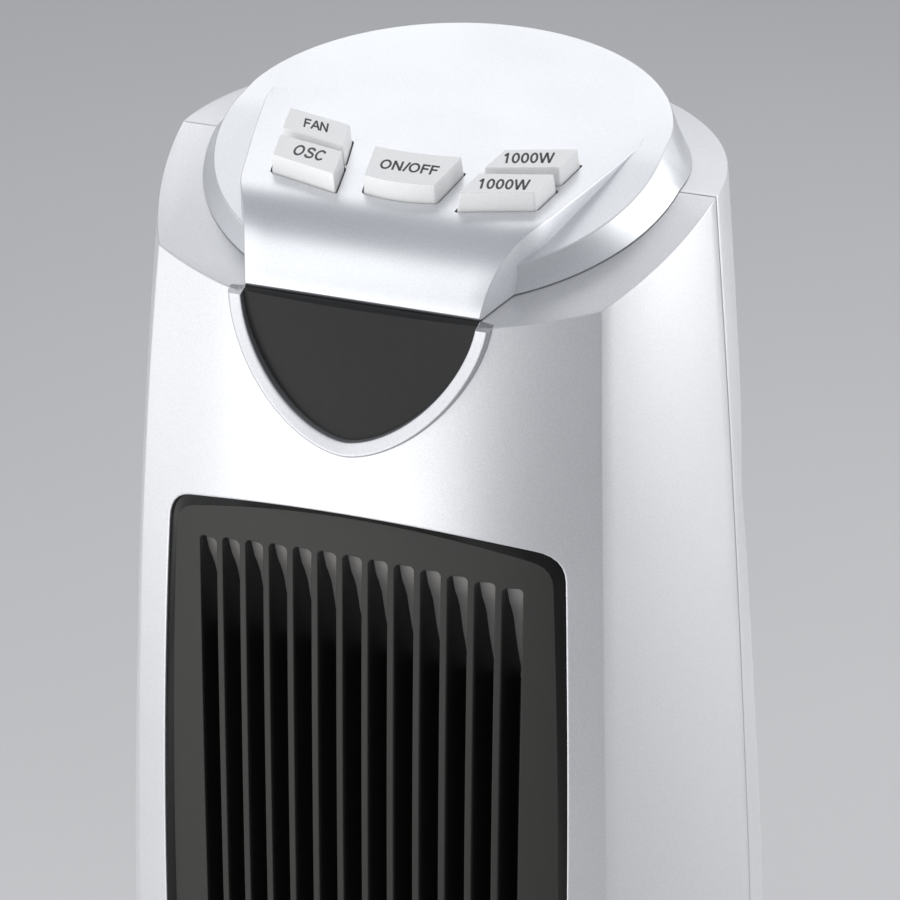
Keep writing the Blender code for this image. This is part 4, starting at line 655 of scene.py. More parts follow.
def edge_rings(section, top, radius, steps=5):
    """Rings round the edge between the shoulder and the sides."""
    rings = []
    for inward, drop in quarter(radius, steps)[:-1]:
        z = SHOULDER
        for _ in range(SETTLE_ROUNDS):
            moved = np.array(offset_open(section(z).tolist(), inward))
            z = top(moved[:, 1]) - drop
        rings.append(np.column_stack([moved, z]))
    return rings


def even_shares(count, first=0.0):
    return [first + (1 - first) * i / count for i in range(count + 1)]


def shoulder_cutter():
    """Everything above the two planes of the shoulder."""
    far = HALF_WIDTH * 2
    profile = [(-far, front_top(-far)), (0, SHOULDER), (far, rear_top(far))]
    profile += [(far, SHOULDER + far), (-far, SHOULDER + far)]
    return loft("shoulder_cutter", [[(x, y, z) for y, z in profile] for x in (-far, far)])


# Outlines seen from the front


def window_point(half, drop, angle):
    """A point of the window's edge, at an angle below the line of its top."""
    across, fall = math.cos(angle), math.sin(angle)
    x = half * math.copysign(abs(across) ** (2 / WINDOW_POWER), across)
    return x, WINDOW_TOP - drop * abs(fall) ** (2 / WINDOW_POWER)


def window_outline(grow=0.0, steps=96):
    """The window's edge from its right end down and round to its left end."""
    half, drop = WINDOW_HALF + grow, WINDOW_DROP + grow
    return [window_point(half, drop, math.pi * i / steps) for i in range(steps + 1)]


def outlet_end(x, top):
    """The height of the outlet's upper or lower edge, which both curve towards its sides."""
    fall = OUTLET_ARCH * (x / OUTLET_HALF) ** 2
    return OUTLET_TOP - fall if top else OUTLET_BOTTOM + fall


def outlet_outline(side=0.0, end=0.0, corner=OUTLET_CORNER, count=360, steps=40, corner_steps=12):
    """The outlet's opening, anticlockwise in x and z, set in by a distance at its sides and ends."""
    wide, narrow = OUTLET_HALF - side, OUTLET_END_HALF - side
    high, low = outlet_end(narrow, True) - end, outlet_end(narrow, False) + end
    middle = (high + low) / 2
    right = []
    for i in range(steps + 1):
        t = i / steps * 2 - 1
        right.append((wide - (wide - narrow) * t * t, middle + (high - low) / 2 * t))
    across = [narrow * (1 - 2 * i / steps) for i in range(1, steps)]
    upper = [(x, outlet_end(x, True) - end) for x in across]
    lower = [(-x, outlet_end(x, False) + end) for x in across]
    around = np.array(right + upper + mirrored(right) + lower)
    closed = np.vstack([around, around[:1]])
    lengths = run_lengths(closed)
    total = lengths[-1]

    def at(run):
        return np.array([np.interp(run % total, lengths, closed[:, k]) for k in range(2)])

    corners = [steps * k for k in range(4)]
    points = []
    for i, point in enumerate(around):
        away = [abs(lengths[i] - lengths[c]) for c in corners]
        if i in corners:
            start, stop = at(lengths[i] - corner), at(lengths[i] + corner)
            points.extend(bend(start, point, stop, j / corner_steps) for j in range(corner_steps + 1))
        elif min(min(run, total - run) for run in away) > corner:
            points.append(point)
    return evenly(points, count) + np.array([[OUTLET_SHIFT, 0]])


def slot_outline(x, low, high, half, grow=0.0, side_steps=60, steps=6):
    """An upright slot whose corners are rounded, anticlockwise from its lower right."""
    half, low, high, corner = half + grow, low - grow, high + grow, SLOT_CORNER + grow
    right, left, bottom, top = x + half - corner, x - half + corner, low + corner, high - corner
    points = []
    for k, (centre_x, centre_z) in enumerate([(right, bottom), (right, top), (left, top), (left, bottom)]):
        for j in range(steps + 1):
            angle = math.pi / 2 * (k - 1 + j / steps)
            points.append((centre_x + corner * math.cos(angle), centre_z + corner * math.sin(angle)))
    full = []
    for a, b in zip(points, points[1:] + points[:1]):
        full.append(a)
        if abs(b[1] - a[1]) > (high - low) / 2:
            full.extend((a[0], a[1] + (b[1] - a[1]) * k / side_steps) for k in range(1, side_steps))
    return full


def edge_strip(outline, surface, radius, depth, steps=5):
    """Rings that round a hole's edge: from the face, over the edge and back into the hole."""
    points = np.array(outline, float)
    rings = []
    for out, back in quarter(radius, steps):
        x, z = offset(points, out, closed=True).T
        rings.append(np.column_stack([x, surface(x, z) + back, z]))
    last = rings[-1].copy()
    last[:, 1] += depth
    return rings + [last]


def intake_outline(inset=0.0):
    half = INTAKE_HALF - inset
    low, high = INTAKE_BOTTOM + inset, INTAKE_TOP - inset
    return evenly(rounded([(half, low), (half, high), (-half, high), (-half, low)], INTAKE_CORNER, 10), 320)


# Materials


def new_material(name, **inputs):
    """A node-based material with some values of its shader set."""
    material = bpy.data.materials.new(name)
    material.use_nodes = True
    for key, value in inputs.items():
        material.node_tree.nodes["Principled BSDF"].inputs[key.replace("_", " ")].default_value = value
    return material


def noise(tree, scale, detail=2):
    """Noise in the object's own space."""
    where = tree.nodes.new("ShaderNodeTexCoord")
    texture = tree.nodes.new("ShaderNodeTexNoise")
    texture.inputs["Scale"].default_value = scale
    texture.inputs["Detail"].default_value = detail
    tree.links.new(where.outputs["Object"], texture.inputs["Vector"])
    return texture.outputs["Fac"]


def two_tone(tree, factor, low, high, places=(0.0, 1.0)):
    """A base colour that changes between two with a factor."""
    ramp = tree.nodes.new("ShaderNodeValToRGB")
    for element, place, colour in zip(ramp.color_ramp.elements, places, (low, high)):
        element.position = place
        element.color = (*colour, 1)
    tree.links.new(factor, ramp.inputs["Fac"])
    tree.links.new(ramp.outputs["Color"], tree.nodes["Principled BSDF"].inputs["Base Color"])


NOISE_LOW = 0.3
NOISE_HIGH = 0.7
BROAD_SCALE = 22


def moulded(name, colour, roughness, metallic, grain, bump, mottle, spread=0.06, specular=0.5):
    """A moulded or painted surface: fine grain in its bump, its colour and its gloss."""
    material = new_material(name, Metallic=metallic, Specular_IOR_Level=specular)
    tree = material.node_tree
    shader = tree.nodes["Principled BSDF"]
    fine = noise(tree, 1 / grain)
    broad = noise(tree, BROAD_SCALE, 3)
    low, high = ([c * share for c in colour] for share in (1 - mottle, 1 + mottle))
    two_tone(tree, fine, low, high, (NOISE_LOW, NOISE_HIGH))
    gloss = tree.nodes.new("ShaderNodeMapRange")
    gloss.inputs["From Min"].default_value = NOISE_LOW
    gloss.inputs["From Max"].default_value = NOISE_HIGH
    gloss.inputs["To Min"].default_value = roughness - spread / 2
    gloss.inputs["To Max"].default_value = roughness + spread / 2
    tree.links.new(broad, gloss.inputs["Value"])
    tree.links.new(gloss.outputs["Result"], shader.inputs["Roughness"])
    bumps = tree.nodes.new("ShaderNodeBump")
    bumps.inputs["Strength"].default_value = bump
    bumps.inputs["Distance"].default_value = grain
    tree.links.new(fine, bumps.inputs["Height"])
    tree.links.new(bumps.outputs["Normal"], shader.inputs["Normal"])
    return material


# Each look's colour, roughness, metal, grain, bump and mottling
SILVER = moulded("silver_paint", (0.67, 0.675, 0.69), 0.42, 0.7, 0.0004, 0.05, 0.07)
# Painted shade: the rim is the shell's silver paint made darker, for how the light falls on its slopes.
RIM_SHADED_SILVER = moulded("rim_silver_painted_shade", (0.50, 0.505, 0.52), 0.38, 0.85, 0.0004, 0.05, 0.07)
CAP_SILVER = moulded("cap_silver", (0.68, 0.69, 0.71), 0.36, 0.7, 0.0004, 0.05, 0.06)
KEY_GREY = moulded("key_plastic", (0.86, 0.86, 0.85), 0.45, 0.0, 0.0003, 0.12, 0.05)
LEGEND = moulded("legend_ink", (0.012, 0.012, 0.014), 0.5, 0.0, 0.0003, 0.02, 0.1)
CHARCOAL = moulded("charcoal_plastic", (0.029, 0.028, 0.026), 0.36, 0.0, 0.0005, 0.05, 0.08, specular=0.22)
# Painted shade where it colours the lens ledge, for the dark that the ledge's glossy top reflects.
BEVEL_BLACK = moulded("glossy_charcoal", (0.010, 0.010, 0.010), 0.28, 0.0, 0.001, 0.01, 0.05, specular=0.15)
LENS = moulded("smoked_lens", (0.022, 0.022, 0.022), 0.3, 0.0, 0.002, 0.004, 0.05, spread=0.02, specular=0.13)
# Painted shade where it colours the grille's fins, which are darker than the bars for the shade in the slots.
INNER_BLACK = moulded("duct_black", (0.012, 0.012, 0.012), 0.5, 0.0, 0.0006, 0.1, 0.1)
# Painted light: the duct's roof is pale grey for the light that falls on it through the slots.
ROOF_PAINTED_LIGHT = moulded("duct_roof_painted_light", (0.32, 0.31, 0.30), 0.4, 0.0, 0.0006, 0.05, 0.05)
# Painted shade where it colours the strips in the seam, under the cap, under the tongue and round the keys,
# which make those gaps dark.
BLACK = moulded("black_plastic", (0.02, 0.02, 0.022), 0.45, 0.0, 0.0005, 0.08, 0.08)
RUBBER = moulded("rubber", (0.03, 0.03, 0.03), 0.75, 0.0, 0.0004, 0.2, 0.1)
STEEL = moulded("steel", (0.56, 0.56, 0.57), 0.3, 1.0, 0.0004, 0.05, 0.05)
BLACKENED = moulded("blackened_aluminium", (0.012, 0.012, 0.012), 0.6, 0.0, 0.0006, 0.05, 0.1, specular=0.2)
BOARD = moulded("circuit_board", (0.03, 0.16, 0.08), 0.45, 0.0, 0.0008, 0.08, 0.15)
NYLON = moulded("white_nylon", (0.78, 0.78, 0.73), 0.45, 0.0, 0.0005, 0.06, 0.04)
FOAM = moulded("filter_foam", (0.10, 0.10, 0.10), 0.9, 0.0, 0.0012, 0.9, 0.5)
CERAMIC = moulded("ceramic", (0.72, 0.69, 0.62), 0.6, 0.0, 0.0006, 0.1, 0.06)


def numbered(name, count=4):
    return [f"{name}_{i}" for i in range(1, count + 1)]


NODE_LOOKS = {
    SILVER: ["front_shell", "rear_shell", "intake_grille", "base_cover"],
    CAP_SILVER: ["control_cap"],
    KEY_GREY: ["key_fan", "key_oscillate", "key_power", "key_heat_low", "key_heat_high"],
    CHARCOAL: ["outlet_grille"],
    LENS: ["display_window"],
    BLACK: ["switch_fan", "switch_oscillate", "switch_power", "switch_heat_low", "switch_heat_high",
            "base_plate", "tip_switch", "tower_floor"],
    INNER_BLACK: ["blower_wheel", "duct_lower_plate", "duct_upper_plate", "scroll_wall", "cutoff_wall"],
    RUBBER: [*numbered("rubber_foot"), "cord_gland"],
    STEEL: [*numbered("shell_screw"), *numbered("base_screw"), "blower_shaft", "upper_bearing",
            "blower_motor", "thermal_cutout", "oscillation_motor", "pivot_retainer", "ballast_weight"],
    BLACKENED: ["heater_element"],
    BOARD: ["control_board", "display_board"],
    NYLON: ["oscillation_gear", "oscillation_pinion", "thrust_ring", "tip_switch_plunger"],
    FOAM: ["dust_filter"],
    CERAMIC: ["heater_holder_bottom", "heater_holder_top"],
}
for look, names in NODE_LOOKS.items():
    for node_name in names:
        node_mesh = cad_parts[node_name].data
        node_mesh.materials.clear()
        node_mesh.materials.append(look)


# Shells


def cap_hole(reach=0.02):
    """The round hole in the shoulder below the cap."""
    up = Vector((0, -math.sin(FRONT_TILT), math.cos(FRONT_TILT)))
    centre = Vector((0, CAP_Y, front_top(CAP_Y)))
    return cylinder("cap_hole", CAP_HOLE_RADIUS, centre - up * reach, centre + up * reach, steps=144)


def make_casing(half, section, top, steps, hollow_steps, keep, past_seam, tools):
    """Half of the tower's wall, with a fine rounded edge at its shoulder and cut by the tools."""
    edge = edge_rings(section, top, CASING_EDGE)
    sides = shell_rings(section, top, even_shares(steps, CASING_EDGE / (SHOULDER - BOTTOM)))
    casing = loft(half + "_casing", edge + sides, SILVER)
    hollow = loft(half + "_hollow", hollow_rings(section, top, even_shares(hollow_steps), keep, past_seam))
    boolean(casing, [hollow, *tools])
    keep_normals(casing, [grid_of(sides), grid_of(edge + sides[:1])])
    dress(casing, "tower", half + "_shell")


def make_front_shell():
    high = SHOULDER + WINDOW_OVERRUN
    grow = 0.0003
    window = [(WINDOW_HALF + grow, high)] + window_outline(grow) + [(-WINDOW_HALF - grow, high)]
    outlet = outlet_outline()
    side = range(SEAM_POINTS, SEAM_POINTS + SIDE_POINTS - 1)
    last = 2 * HALF_POINTS + len(FRONT_U) - 1
    face = range(HALF_POINTS + 3, last - HALF_POINTS - 2, 4)
    keep = [*side, *face, *(last - i for i in reversed(side))]
    make_casing("front", front_section, front_top, 96, 24, keep, OVERRUN, [
        front_prism("window_hole", window, WINDOW_CUT),
        front_prism("outlet_hole", offset(outlet, LIP_RADIUS, closed=True), OUTLET_CUT),
        cap_hole(),
    ])
    lip = loft("outlet_lip", edge_strip(outlet, front_y, LIP_RADIUS, OUTLET_LIP_DEPTH), SILVER, ends=False)
    dress(lip, "tower")


def make_rim(steps=8, leg_points=8):
    """The raised band round the window, which rises outward and turns down at its crest."""
    rise = (RIM_PROUD - RIM_INNER) / RIM_CREST
    root, foot = -0.0035, -0.0015

    def on_slope(out):
        return out, RIM_INNER + rise * out

    crest = (on_slope(0.003), on_slope(0.0041), (RIM_WIDTH, 0.0006))
    over_edge = (RIM_EDGE * ROUND_MIDDLE_SHARE, RIM_INNER - RIM_EDGE * 0.2)
    profile = [(0.0, root), (0.0, RIM_INNER - RIM_EDGE), over_edge]
    profile += [on_slope(out) for out in (RIM_EDGE, 0.001, 0.0019, 0.0028)]
    profile += [tuple(bend(*places, k / steps) for places in zip(*crest)) for k in range(steps + 1)]
    profile += [(RIM_WIDTH + 0.0001, -0.0003), (RIM_WIDTH, foot)]
    high = SHOULDER + WINDOW_OVERRUN
    leg = [(WINDOW_HALF, high - RIM_LEG * k / leg_points) for k in range(leg_points)]
    path = np.array(leg + window_outline() + mirrored(leg))
    rings = []
    for out, proud in profile:
        x, z = offset(path, -out).T
        rings.append(np.column_stack([x, front_y(x, z) - proud, z]))
    stations = [[tuple(ring[i]) for ring in rings] for i in range(len(path))]
    # The band's darker silver is painted shade.
    band = loft("window_rim", stations, RIM_SHADED_SILVER)
    boolean(band, [shoulder_cutter()])
    keep_normals(band, [grid_of(stations)], agree=0.8)
    dress(band, "tower")


def lens_y(x, z):
    """The window's face, bowed like the front at its foot and nearly flat across its top."""
    rise = np.clip((z - (WINDOW_TOP - WINDOW_DROP)) / WINDOW_DROP, 0, 1)
    return front_y(x, z) + LENS_RECESS + LENS_FLATTENING * rise * (1 - (x / WINDOW_HALF) ** 2)


def make_lens(steps=40, across=16):
    side_gap, foot_gap, past_top, last_share = 0.0001, 0.0002, 0.004, 0.996
    half, drop = WINDOW_HALF - side_gap, WINDOW_DROP - foot_gap
    levels = [(half, SHOULDER + past_top), (half, WINDOW_TOP)]
    shares = [min(i / steps, last_share) for i in range(1, steps + 1)]
    levels += [window_point(half, drop, math.pi / 2 * share) for share in shares]
    rows = []
    for wide, z in levels:
        places = [wide * (1 - j / across) for j in range(2 * across + 1)]
        rows.append([(x, float(lens_y(x, z)), z) for x in places])
    lens = sheet("smoked_lens", rows, LENS_THICKNESS, LENS)
    boolean(lens, [shoulder_cutter()])
    keep_normals(lens, [rows])
    dress(lens, "tower", "display_window")


def make_lens_ledge():
    """The shelf that closes the window's recess at the shoulder, behind the lens. Its near-black is painted
    shade, for the dark that its glossy top reflects.
    """
    behind, sunk = 0.0004, 0.00005
    plan = [(x, float(lens_y(x, LEDGE_LEVEL)) + behind) for x in np.linspace(-LEDGE_HALF, LEDGE_HALF, 25)]
    plan += [(LEDGE_HALF, LEDGE_REAR), (-LEDGE_HALF, LEDGE_REAR)]
    rings = [[(x, y, front_top(y) - depth) for x, y in plan] for depth in (LENS_THICKNESS, sunk)]
    dress(loft("lens_ledge", rings, BEVEL_BLACK), "tower")


def screw_post(x, z):
    """A hollow post for one shell screw, whose bore steps out to the screw's head."""
    outer = float(rear_y(x, z)) - POST_SUNK
    profile = ((POST_RADIUS, POST_FRONT), (POST_RADIUS, outer), (COUNTERBORE_RADIUS, outer),
               (COUNTERBORE_RADIUS, SCREW_SEAT), (PILOT_RADIUS, SCREW_SEAT), (PILOT_RADIUS, POST_FRONT))
    rings = [[(x + radius * math.cos(a), y, z + radius * math.sin(a)) for a in circle_angles(48)]
             for radius, y in profile]
    return loft("post", rings + rings[:1], SILVER, ends=False)


def make_rear_shell():
    outline = intake_outline()
    tools = [front_prism("intake_hole", offset(outline, LIP_RADIUS, closed=True), REAR_CUT), cap_hole()]
    for x, z in SCREW_PLACES:
        past = float(rear_y(x, z)) + OVERRUN
        tools.append(cylinder("counterbore", COUNTERBORE_RADIUS, (x, SCREW_SEAT, z), (x, past, z), steps=48))
    keep = list(range(4, len(rear_section(SHOULDER)) - 4, 2))
    make_casing("rear", rear_section, rear_top, 110, 60, keep, -OVERRUN, tools)
    strip = edge_strip(outline, rear_y_turned, LIP_RADIUS, INTAKE_LIP_DEPTH)
    for ring in strip:
        ring[:, 1] = -ring[:, 1]
    dress(loft("intake_lip", strip, SILVER, ends=False), "tower")
    posts = join("screw_posts", [screw_post(x, z) for x, z in SCREW_PLACES])
    dress(posts, "tower")


def make_seam_shade_strips():
    """Painted shade: a black strip deep in the seam between the two halves, which makes the gap dark."""
    depth, thick, half_gap, inner_end = 0.0004, 0.0015, 0.00019, 0.064
    top, low = SHOULDER - depth, SHOULDER - depth - thick
    heights = np.linspace(BOTTOM, top, 80)
    for side, name in ((1, "seam_shade_right"), (-1, "seam_shade_left")):
        outer = [(side * (float(seam_half(z)) - depth), z) for z in heights]
        inner = [(side * (float(seam_half(z)) - depth - thick), z) for z in heights if z < low]
        shoulder = [(side * inner_end, top), (side * inner_end, low)]
        shade_strip = front_prism(name, outer + shoulder + inner[::-1], (-half_gap, half_gap))
        shade_strip.data.materials.append(BLACK)
        dress(shade_strip, "tower")


# Control cap


def deck_height(y):
    return SHOULDER + DECK_RISE + y * math.tan(DECK_TILT)


def top_height(y):
    """The cap's top without its tongue: the deck behind turns softly into the shelf in front."""
    fall = math.tan(FRONT_TILT) - math.tan(DECK_TILT)
    ahead = np.maximum(TONGUE_REAR - np.asarray(y, float), 0)
    return deck_height(y) - fall * np.where(ahead < BLEND, ahead**2 / (2 * BLEND), ahead - BLEND / 2)


def cap_line(angle, inset, edge=0.0004, wall_steps=8, edge_steps=6):
    """Points up the cap's flared wall at one angle, with a fine rounded edge at the top."""

    def around(radius, middle):
        return (radius - inset) * math.cos(angle), middle + (radius - inset) * math.sin(angle)

    x, y = around(CAP_RADIUS, CAP_Y)
    seat = Vector((x, y, shoulder_top(y) + CAP_GAP))
    x, y = around(SHELF_RADIUS, SHELF_Y)
    if y > DECK_Y:
        x, y = around(DECK_RADIUS, DECK_Y)
    rim = Vector((x, y, float(top_height(y)) - inset))
    inward = Vector((-x, DECK_Y - y, 0)).normalized()
    cove = (seat + rim) / 2 + inward * CAP_COVE
    control = cove * 2 - (seat + rim) / 2
    wall = [bend(seat, control, rim, k / wall_steps) for k in range(wall_steps + 1)]
    if inset:
        wall[0].z -= CAP_OVERRUN
    stop = wall[-1] - (wall[-1] - wall[-2]).normalized() * edge
    inner = rim + inward * edge
    inner.z = float(top_height(inner.y)) - inset
    over = [bend(stop, rim, inner, k / edge_steps) for k in range(1, edge_steps)]
    return wall[:-1] + [stop] + over + [inner]


def cap_rings(inset=0.0, steps=288):
    """Rings up the cap's wall."""
    return [list(ring) for ring in zip(*(cap_line(angle, inset) for angle in circle_angles(steps, 0.5)))]


def tongue_half(y):
    share = np.clip((np.asarray(y, float) - TONGUE_FOOT) / (TONGUE_TIP - TONGUE_FOOT), 0, 1)
    return TONGUE_HALF * smooth(TONGUE_SHARES, share)


def tongue_profile(inset=0.0, fall_steps=40, deck_steps=60):
    """Points down the tongue's middle, rear to foot, with the direction out of the surface."""
    stations = []
    normal = Vector((0, -math.sin(DECK_TILT), math.cos(DECK_TILT)))
    for i in range(deck_steps):
        y = TONGUE_REAR + (FALL_START - TONGUE_REAR) * i / deck_steps
        stations.append((Vector((0, y, deck_height(y))) - normal * inset, normal))
    centre = Vector((0, FALL_START, deck_height(FALL_START))) - normal * FALL_RADIUS
    for i in range(fall_steps + 1):
        angle = DECK_TILT + FALL_TURN * i / fall_steps
        out = Vector((0, -math.sin(angle), math.cos(angle)))
        stations.append((centre + out * (FALL_RADIUS - inset), out))
    return stations


def tongue_rings(inset=0.0, lift=TONGUE_LIFT, edge_steps=4, half_steps=6):
    """Cross-sections of the tongue, each from one side's foot, over the top, to the other's."""
    rings = []
    for place, out in tongue_profile(inset):
        half = float(tongue_half(place.y)) - inset
        start = place - out * TONGUE_EDGE
        foot = float(front_top(start.y)) + lift
        line = [Vector((half, start.y, foot)), Vector((half, start.y, (foot + start.z) / 2))]
        for under, inward in quarter(TONGUE_EDGE, edge_steps):
            point = place - out * under
            line.append(Vector((half - inward, point.y, point.z)))
        side = [Vector((-point.x, point.y, point.z)) for point in reversed(line)]
        for k in range(1, 2 * half_steps):
            line.append(Vector(((half - TONGUE_EDGE) * (1 - k / half_steps), place.y, place.z)))
        rings.append(line + side)
    return rings


def make_cap_shade_ring(steps=144):
    """Painted shade: a black ring at the cap's foot, which makes the thin gap that the cap stands on dark."""
    inner, outer, low, high = 0.0716, CAP_RADIUS - 0.0004, -0.002, 0.0006
    rings = []
    for radius, lift in ((inner, low), (outer, low), (outer, high), (inner, high)):
        ring = []
        for angle in circle_angles(steps, 0.5):
            x, y = radius * math.cos(angle), CAP_Y + radius * math.sin(angle)
            ring.append((x, y, shoulder_top(y) + lift))
        rings.append(ring)
    dress(loft("cap_seal", rings + rings[:1], BLACK, ends=False), "tower")


def make_tongue_shade_line():
    """Painted shade: a black strip under the tongue's foot, which makes the thin gap there dark."""
    inset, rear, low, high = 0.0004, -0.058, -0.0003, 0.00038
    side = [(float(tongue_half(y)) - inset, y) for y in np.linspace(TONGUE_FOOT + TONGUE_EDGE, rear, 12)]
    plan = side + mirrored(side)
    rings = [[(x, y, front_top(y) + lift) for x, y in plan] for lift in (low, high)]
    dress(loft("tongue_seal", rings, BLACK), "tower")


def make_cap_body():
    """The round part of the cap. Strips across it close its top, so that the shading there stays even."""
    rings = cap_rings()
    body = loft("cap_wall", rings, CAP_SILVER, ends=False)
    bm = bmesh.new()
    bm.from_mesh(body.data)
    bm.verts.ensure_lookup_table()
    count = len(rings[0])
    bm.faces.new([bm.verts[i] for i in range(count)])
    last = [bm.verts[(len(rings) - 1) * count + i] for i in range(count)]
    fourth = count // 4
    pairs = [(last[(fourth - 1 - k) % count], last[(fourth + k) % count]) for k in range(count // 2)]
    for (a, b), (c, d) in zip(pairs, pairs[1:]):
        bm.faces.new((a, b, d, c))
    top = [[tuple(a.co), tuple((a.co + b.co) / 2), tuple(b.co)] for a, b in pairs]
    bmesh.ops.recalc_face_normals(bm, faces=bm.faces)
    bm.to_mesh(body.data)
    bm.free()
    ahead, low, high = -0.09, 0.5, 0.6
    side = [(float(tongue_half(y)) - TONGUE_EDGE, y) for y in np.linspace(TONGUE_FOOT, TONGUE_REAR, 60)]
    side = [(side[0][0], ahead)] + side
    under_tongue = loft("under_tongue", [[(x, y, z) for x, y in side + mirrored(side)] for z in (low, high)])
    boolean(body, [loft("cap_inner", cap_rings(CAP_WALL, 96)), under_tongue])
    keep_normals(body, [top, closed_grid_of(rings)])
    dress(body, "tower", "control_cap")


def make_tongue():
    outer = tongue_rings()
    tongue = loft("cap_tongue", outer, CAP_SILVER)
    past_foot = 0.004
    tools = [loft("tongue_hollow", tongue_rings(CAP_WALL, -past_foot))]
    for name, face in KEYS.items():
        rings = [key_ring(face, KEY_DRAFT + KEY_GAP, z) for z in (-OVERRUN, OVERRUN)]
        tools.append(loft(name + "_hole", rings))
    boolean(tongue, tools)
    keep_normals(tongue, [grid_of(outer)])
    dress(tongue, "tower")


# Keys


def arc(start, middle, end, steps=8):
    """A shallow curve through three points."""
    start, middle, end = Vector(start), Vector(middle), Vector(end)
    control = middle * 2 - (start + end) / 2
    return [tuple(bend(start, control, end, k / steps)) for k in range(steps + 1)]


# Each key's top, anticlockwise from its front right corner, in millimetres on the deck
POWER_REAR = arc((14.7, -25.9), (1.35, -27.3), (-12.0, -26.6))
POWER_FRONT = arc((-8.7, -44.4), (2.1, -45.8), (12.9, -44.3))
POWER_KEY_CORNERS = (0, 1, 9, 10)
KEY_TOPS = {
    "key_fan": [(-20.9, -29.5), (-23.8, -16.2), (-44.8, -10.8), (-42.4, -23.3)],
    "key_oscillate": [(-17.6, -46.3), (-20.1, -32.6), (-41.4, -27.6), (-39.0, -40.1)],
    "key_power": POWER_FRONT[-1:] + POWER_REAR + POWER_FRONT[:-1],
    "key_heat_low": [(43.9, -23.8), (45.7, -11.6), (25.3, -18.1), (23.3, -30.3)],
    "key_heat_high": [(41.9, -40.4), (43.8, -28.4), (22.9, -34.1), (21.1, -46.9)],
}
KEYS = {name: [(x / 1000, y / 1000) for x, y in face] for name, face in KEY_TOPS.items()}
KEY_BODIES = {name: name.removeprefix("key_") + "_key" for name in KEYS}
# Each legend's words, its start, and its steps along and up for one capital's height, in millimetres
LEGENDS = {
    "key_fan": ("FAN", (-36.6, -21.4), (3.38, -0.54), (-1.48, 5.32)),
    "key_oscillate": ("OSC", (-33.8, -38.5), (3.63, -0.61), (-0.46, 6.27)),
    "key_power": ("ON/OFF", (-6.2, -39.4), (3.66, 0.12), (-0.83, 5.63)),
    "key_heat_low": ("1000W", (27.1, -26.4), (3.44, 1.10), (-1.47, 6.20)),
    "key_heat_high": ("1000W", (25.0, -43.1), (3.51, 0.86), (-1.16, 5.98)),
}
DECK_MATRIX = Matrix.Translation((0, 0, deck_height(0))) @ Matrix.Rotation(DECK_TILT, 4, "X")
# Half of a stroke's width and half of an oval's height, in capitals' heights
STROKE = 0.09
OVAL_HALF = 0.515


def oval(x, across, start=0, end=360, steps=28):
    """Part of an upright oval of one capital's height."""
    half, tall = across / 2 - STROKE, OVAL_HALF - STROKE
    angles = [math.radians(start + (end - start) * k / steps) for k in range(steps + 1)]
    return [(x + half * math.cos(a), 0.5 + tall * math.sin(a)) for a in angles]


S_LINE = [(0.72, 0.74), (0.66, 0.87), (0.54, 0.93), (0.40, 0.94), (0.25, 0.90), (0.165, 0.81), (0.165, 0.69),
          (0.25, 0.60), (0.40, 0.545), (0.56, 0.50), (0.70, 0.43), (0.76, 0.32), (0.74, 0.19), (0.64, 0.09),
          (0.47, 0.06), (0.30, 0.07), (0.17, 0.15), (0.11, 0.28)]
STEM = [(STROKE, 0), (STROKE, 1)]
N_RIGHT = 0.80 - STROKE
# For each letter, the room that it takes and its strokes, in capitals' heights
LETTERS = {
    "F": (0.74, [STEM, [(STROKE, 1 - STROKE), (0.66, 1 - STROKE)], [(STROKE, 0.52), (0.58, 0.52)]]),
    "A": (0.86, [[(0.03, 0), (0.42, 1)], [(0.81, 0), (0.42, 1)], [(0.17, 0.35), (0.67, 0.35)]]),
    "N": (0.98, [STEM, [(STROKE, 0.97), (N_RIGHT, 0.03)], [(N_RIGHT, 0), (N_RIGHT, 1)]]),
    "O": (1.04, [oval(0.46, 0.92)]),
    "S": (0.90, [S_LINE]),
    "C": (0.96, [oval(0.48, 0.88, 36, 324)]),
    "/": (0.36, [[(0.0, 0), (0.32, 1)]]),
    "1": (0.74, [[(0.40, 0), (0.40, 1)], [(0.40, 0.95), (0.16, 0.72)]]),
    "0": (0.74, [oval(0.35, 0.66)]),
    "W": (1.26, [[(0.05, 1), (0.32, 0)], [(0.32, 0), (0.60, 1)],
                 [(0.60, 1), (0.88, 0)], [(0.88, 0), (1.16, 1)]]),
}


def stroke(points):
    """The two sides of a line of even width, and whether it closes."""
    if math.dist(points[0], points[-1]) < 1e-6:
        return grown(points[:-1], STROKE), grown(points[:-1], -STROKE), True
    return offset_open(points, STROKE), offset_open(points, -STROKE), False


def make_legend(name):
    words, start, along, upward = LEGENDS[name]
    start, along, upward = (Vector(item) / 1000 for item in (start, along, upward))
    bm = bmesh.new()
    pen = 0.0
    for letter in words:
        room, lines = LETTERS[letter]
        for line in lines:
            right, left, closed = stroke(line)
            levels = []
            for z in (KEY_PROUD - INK_SUNK, KEY_PROUD + INK_PROUD):
                for row in (right, left):
                    flat = [start + along * (x + pen) + upward * y for x, y in row]
                    levels.append([bm.verts.new(DECK_MATRIX @ Vector((p.x, p.y, z))) for p in flat])
            low_right, low_left, high_right, high_left = levels
            around = [high_right, high_left, low_left, low_right, high_right]
            count = len(right)
            for i in range(count if closed else count - 1):
                j = (i + 1) % count
                for a, b in zip(around, around[1:]):
                    bm.faces.new((a[i], a[j], b[j], b[i]))
            if not closed:
                for i in (0, -1):
                    bm.faces.new((low_right[i], high_right[i], high_left[i], low_left[i]))
        pen += room
    dress(from_bmesh(name + "_legend", bm, LEGEND), KEY_BODIES[name])


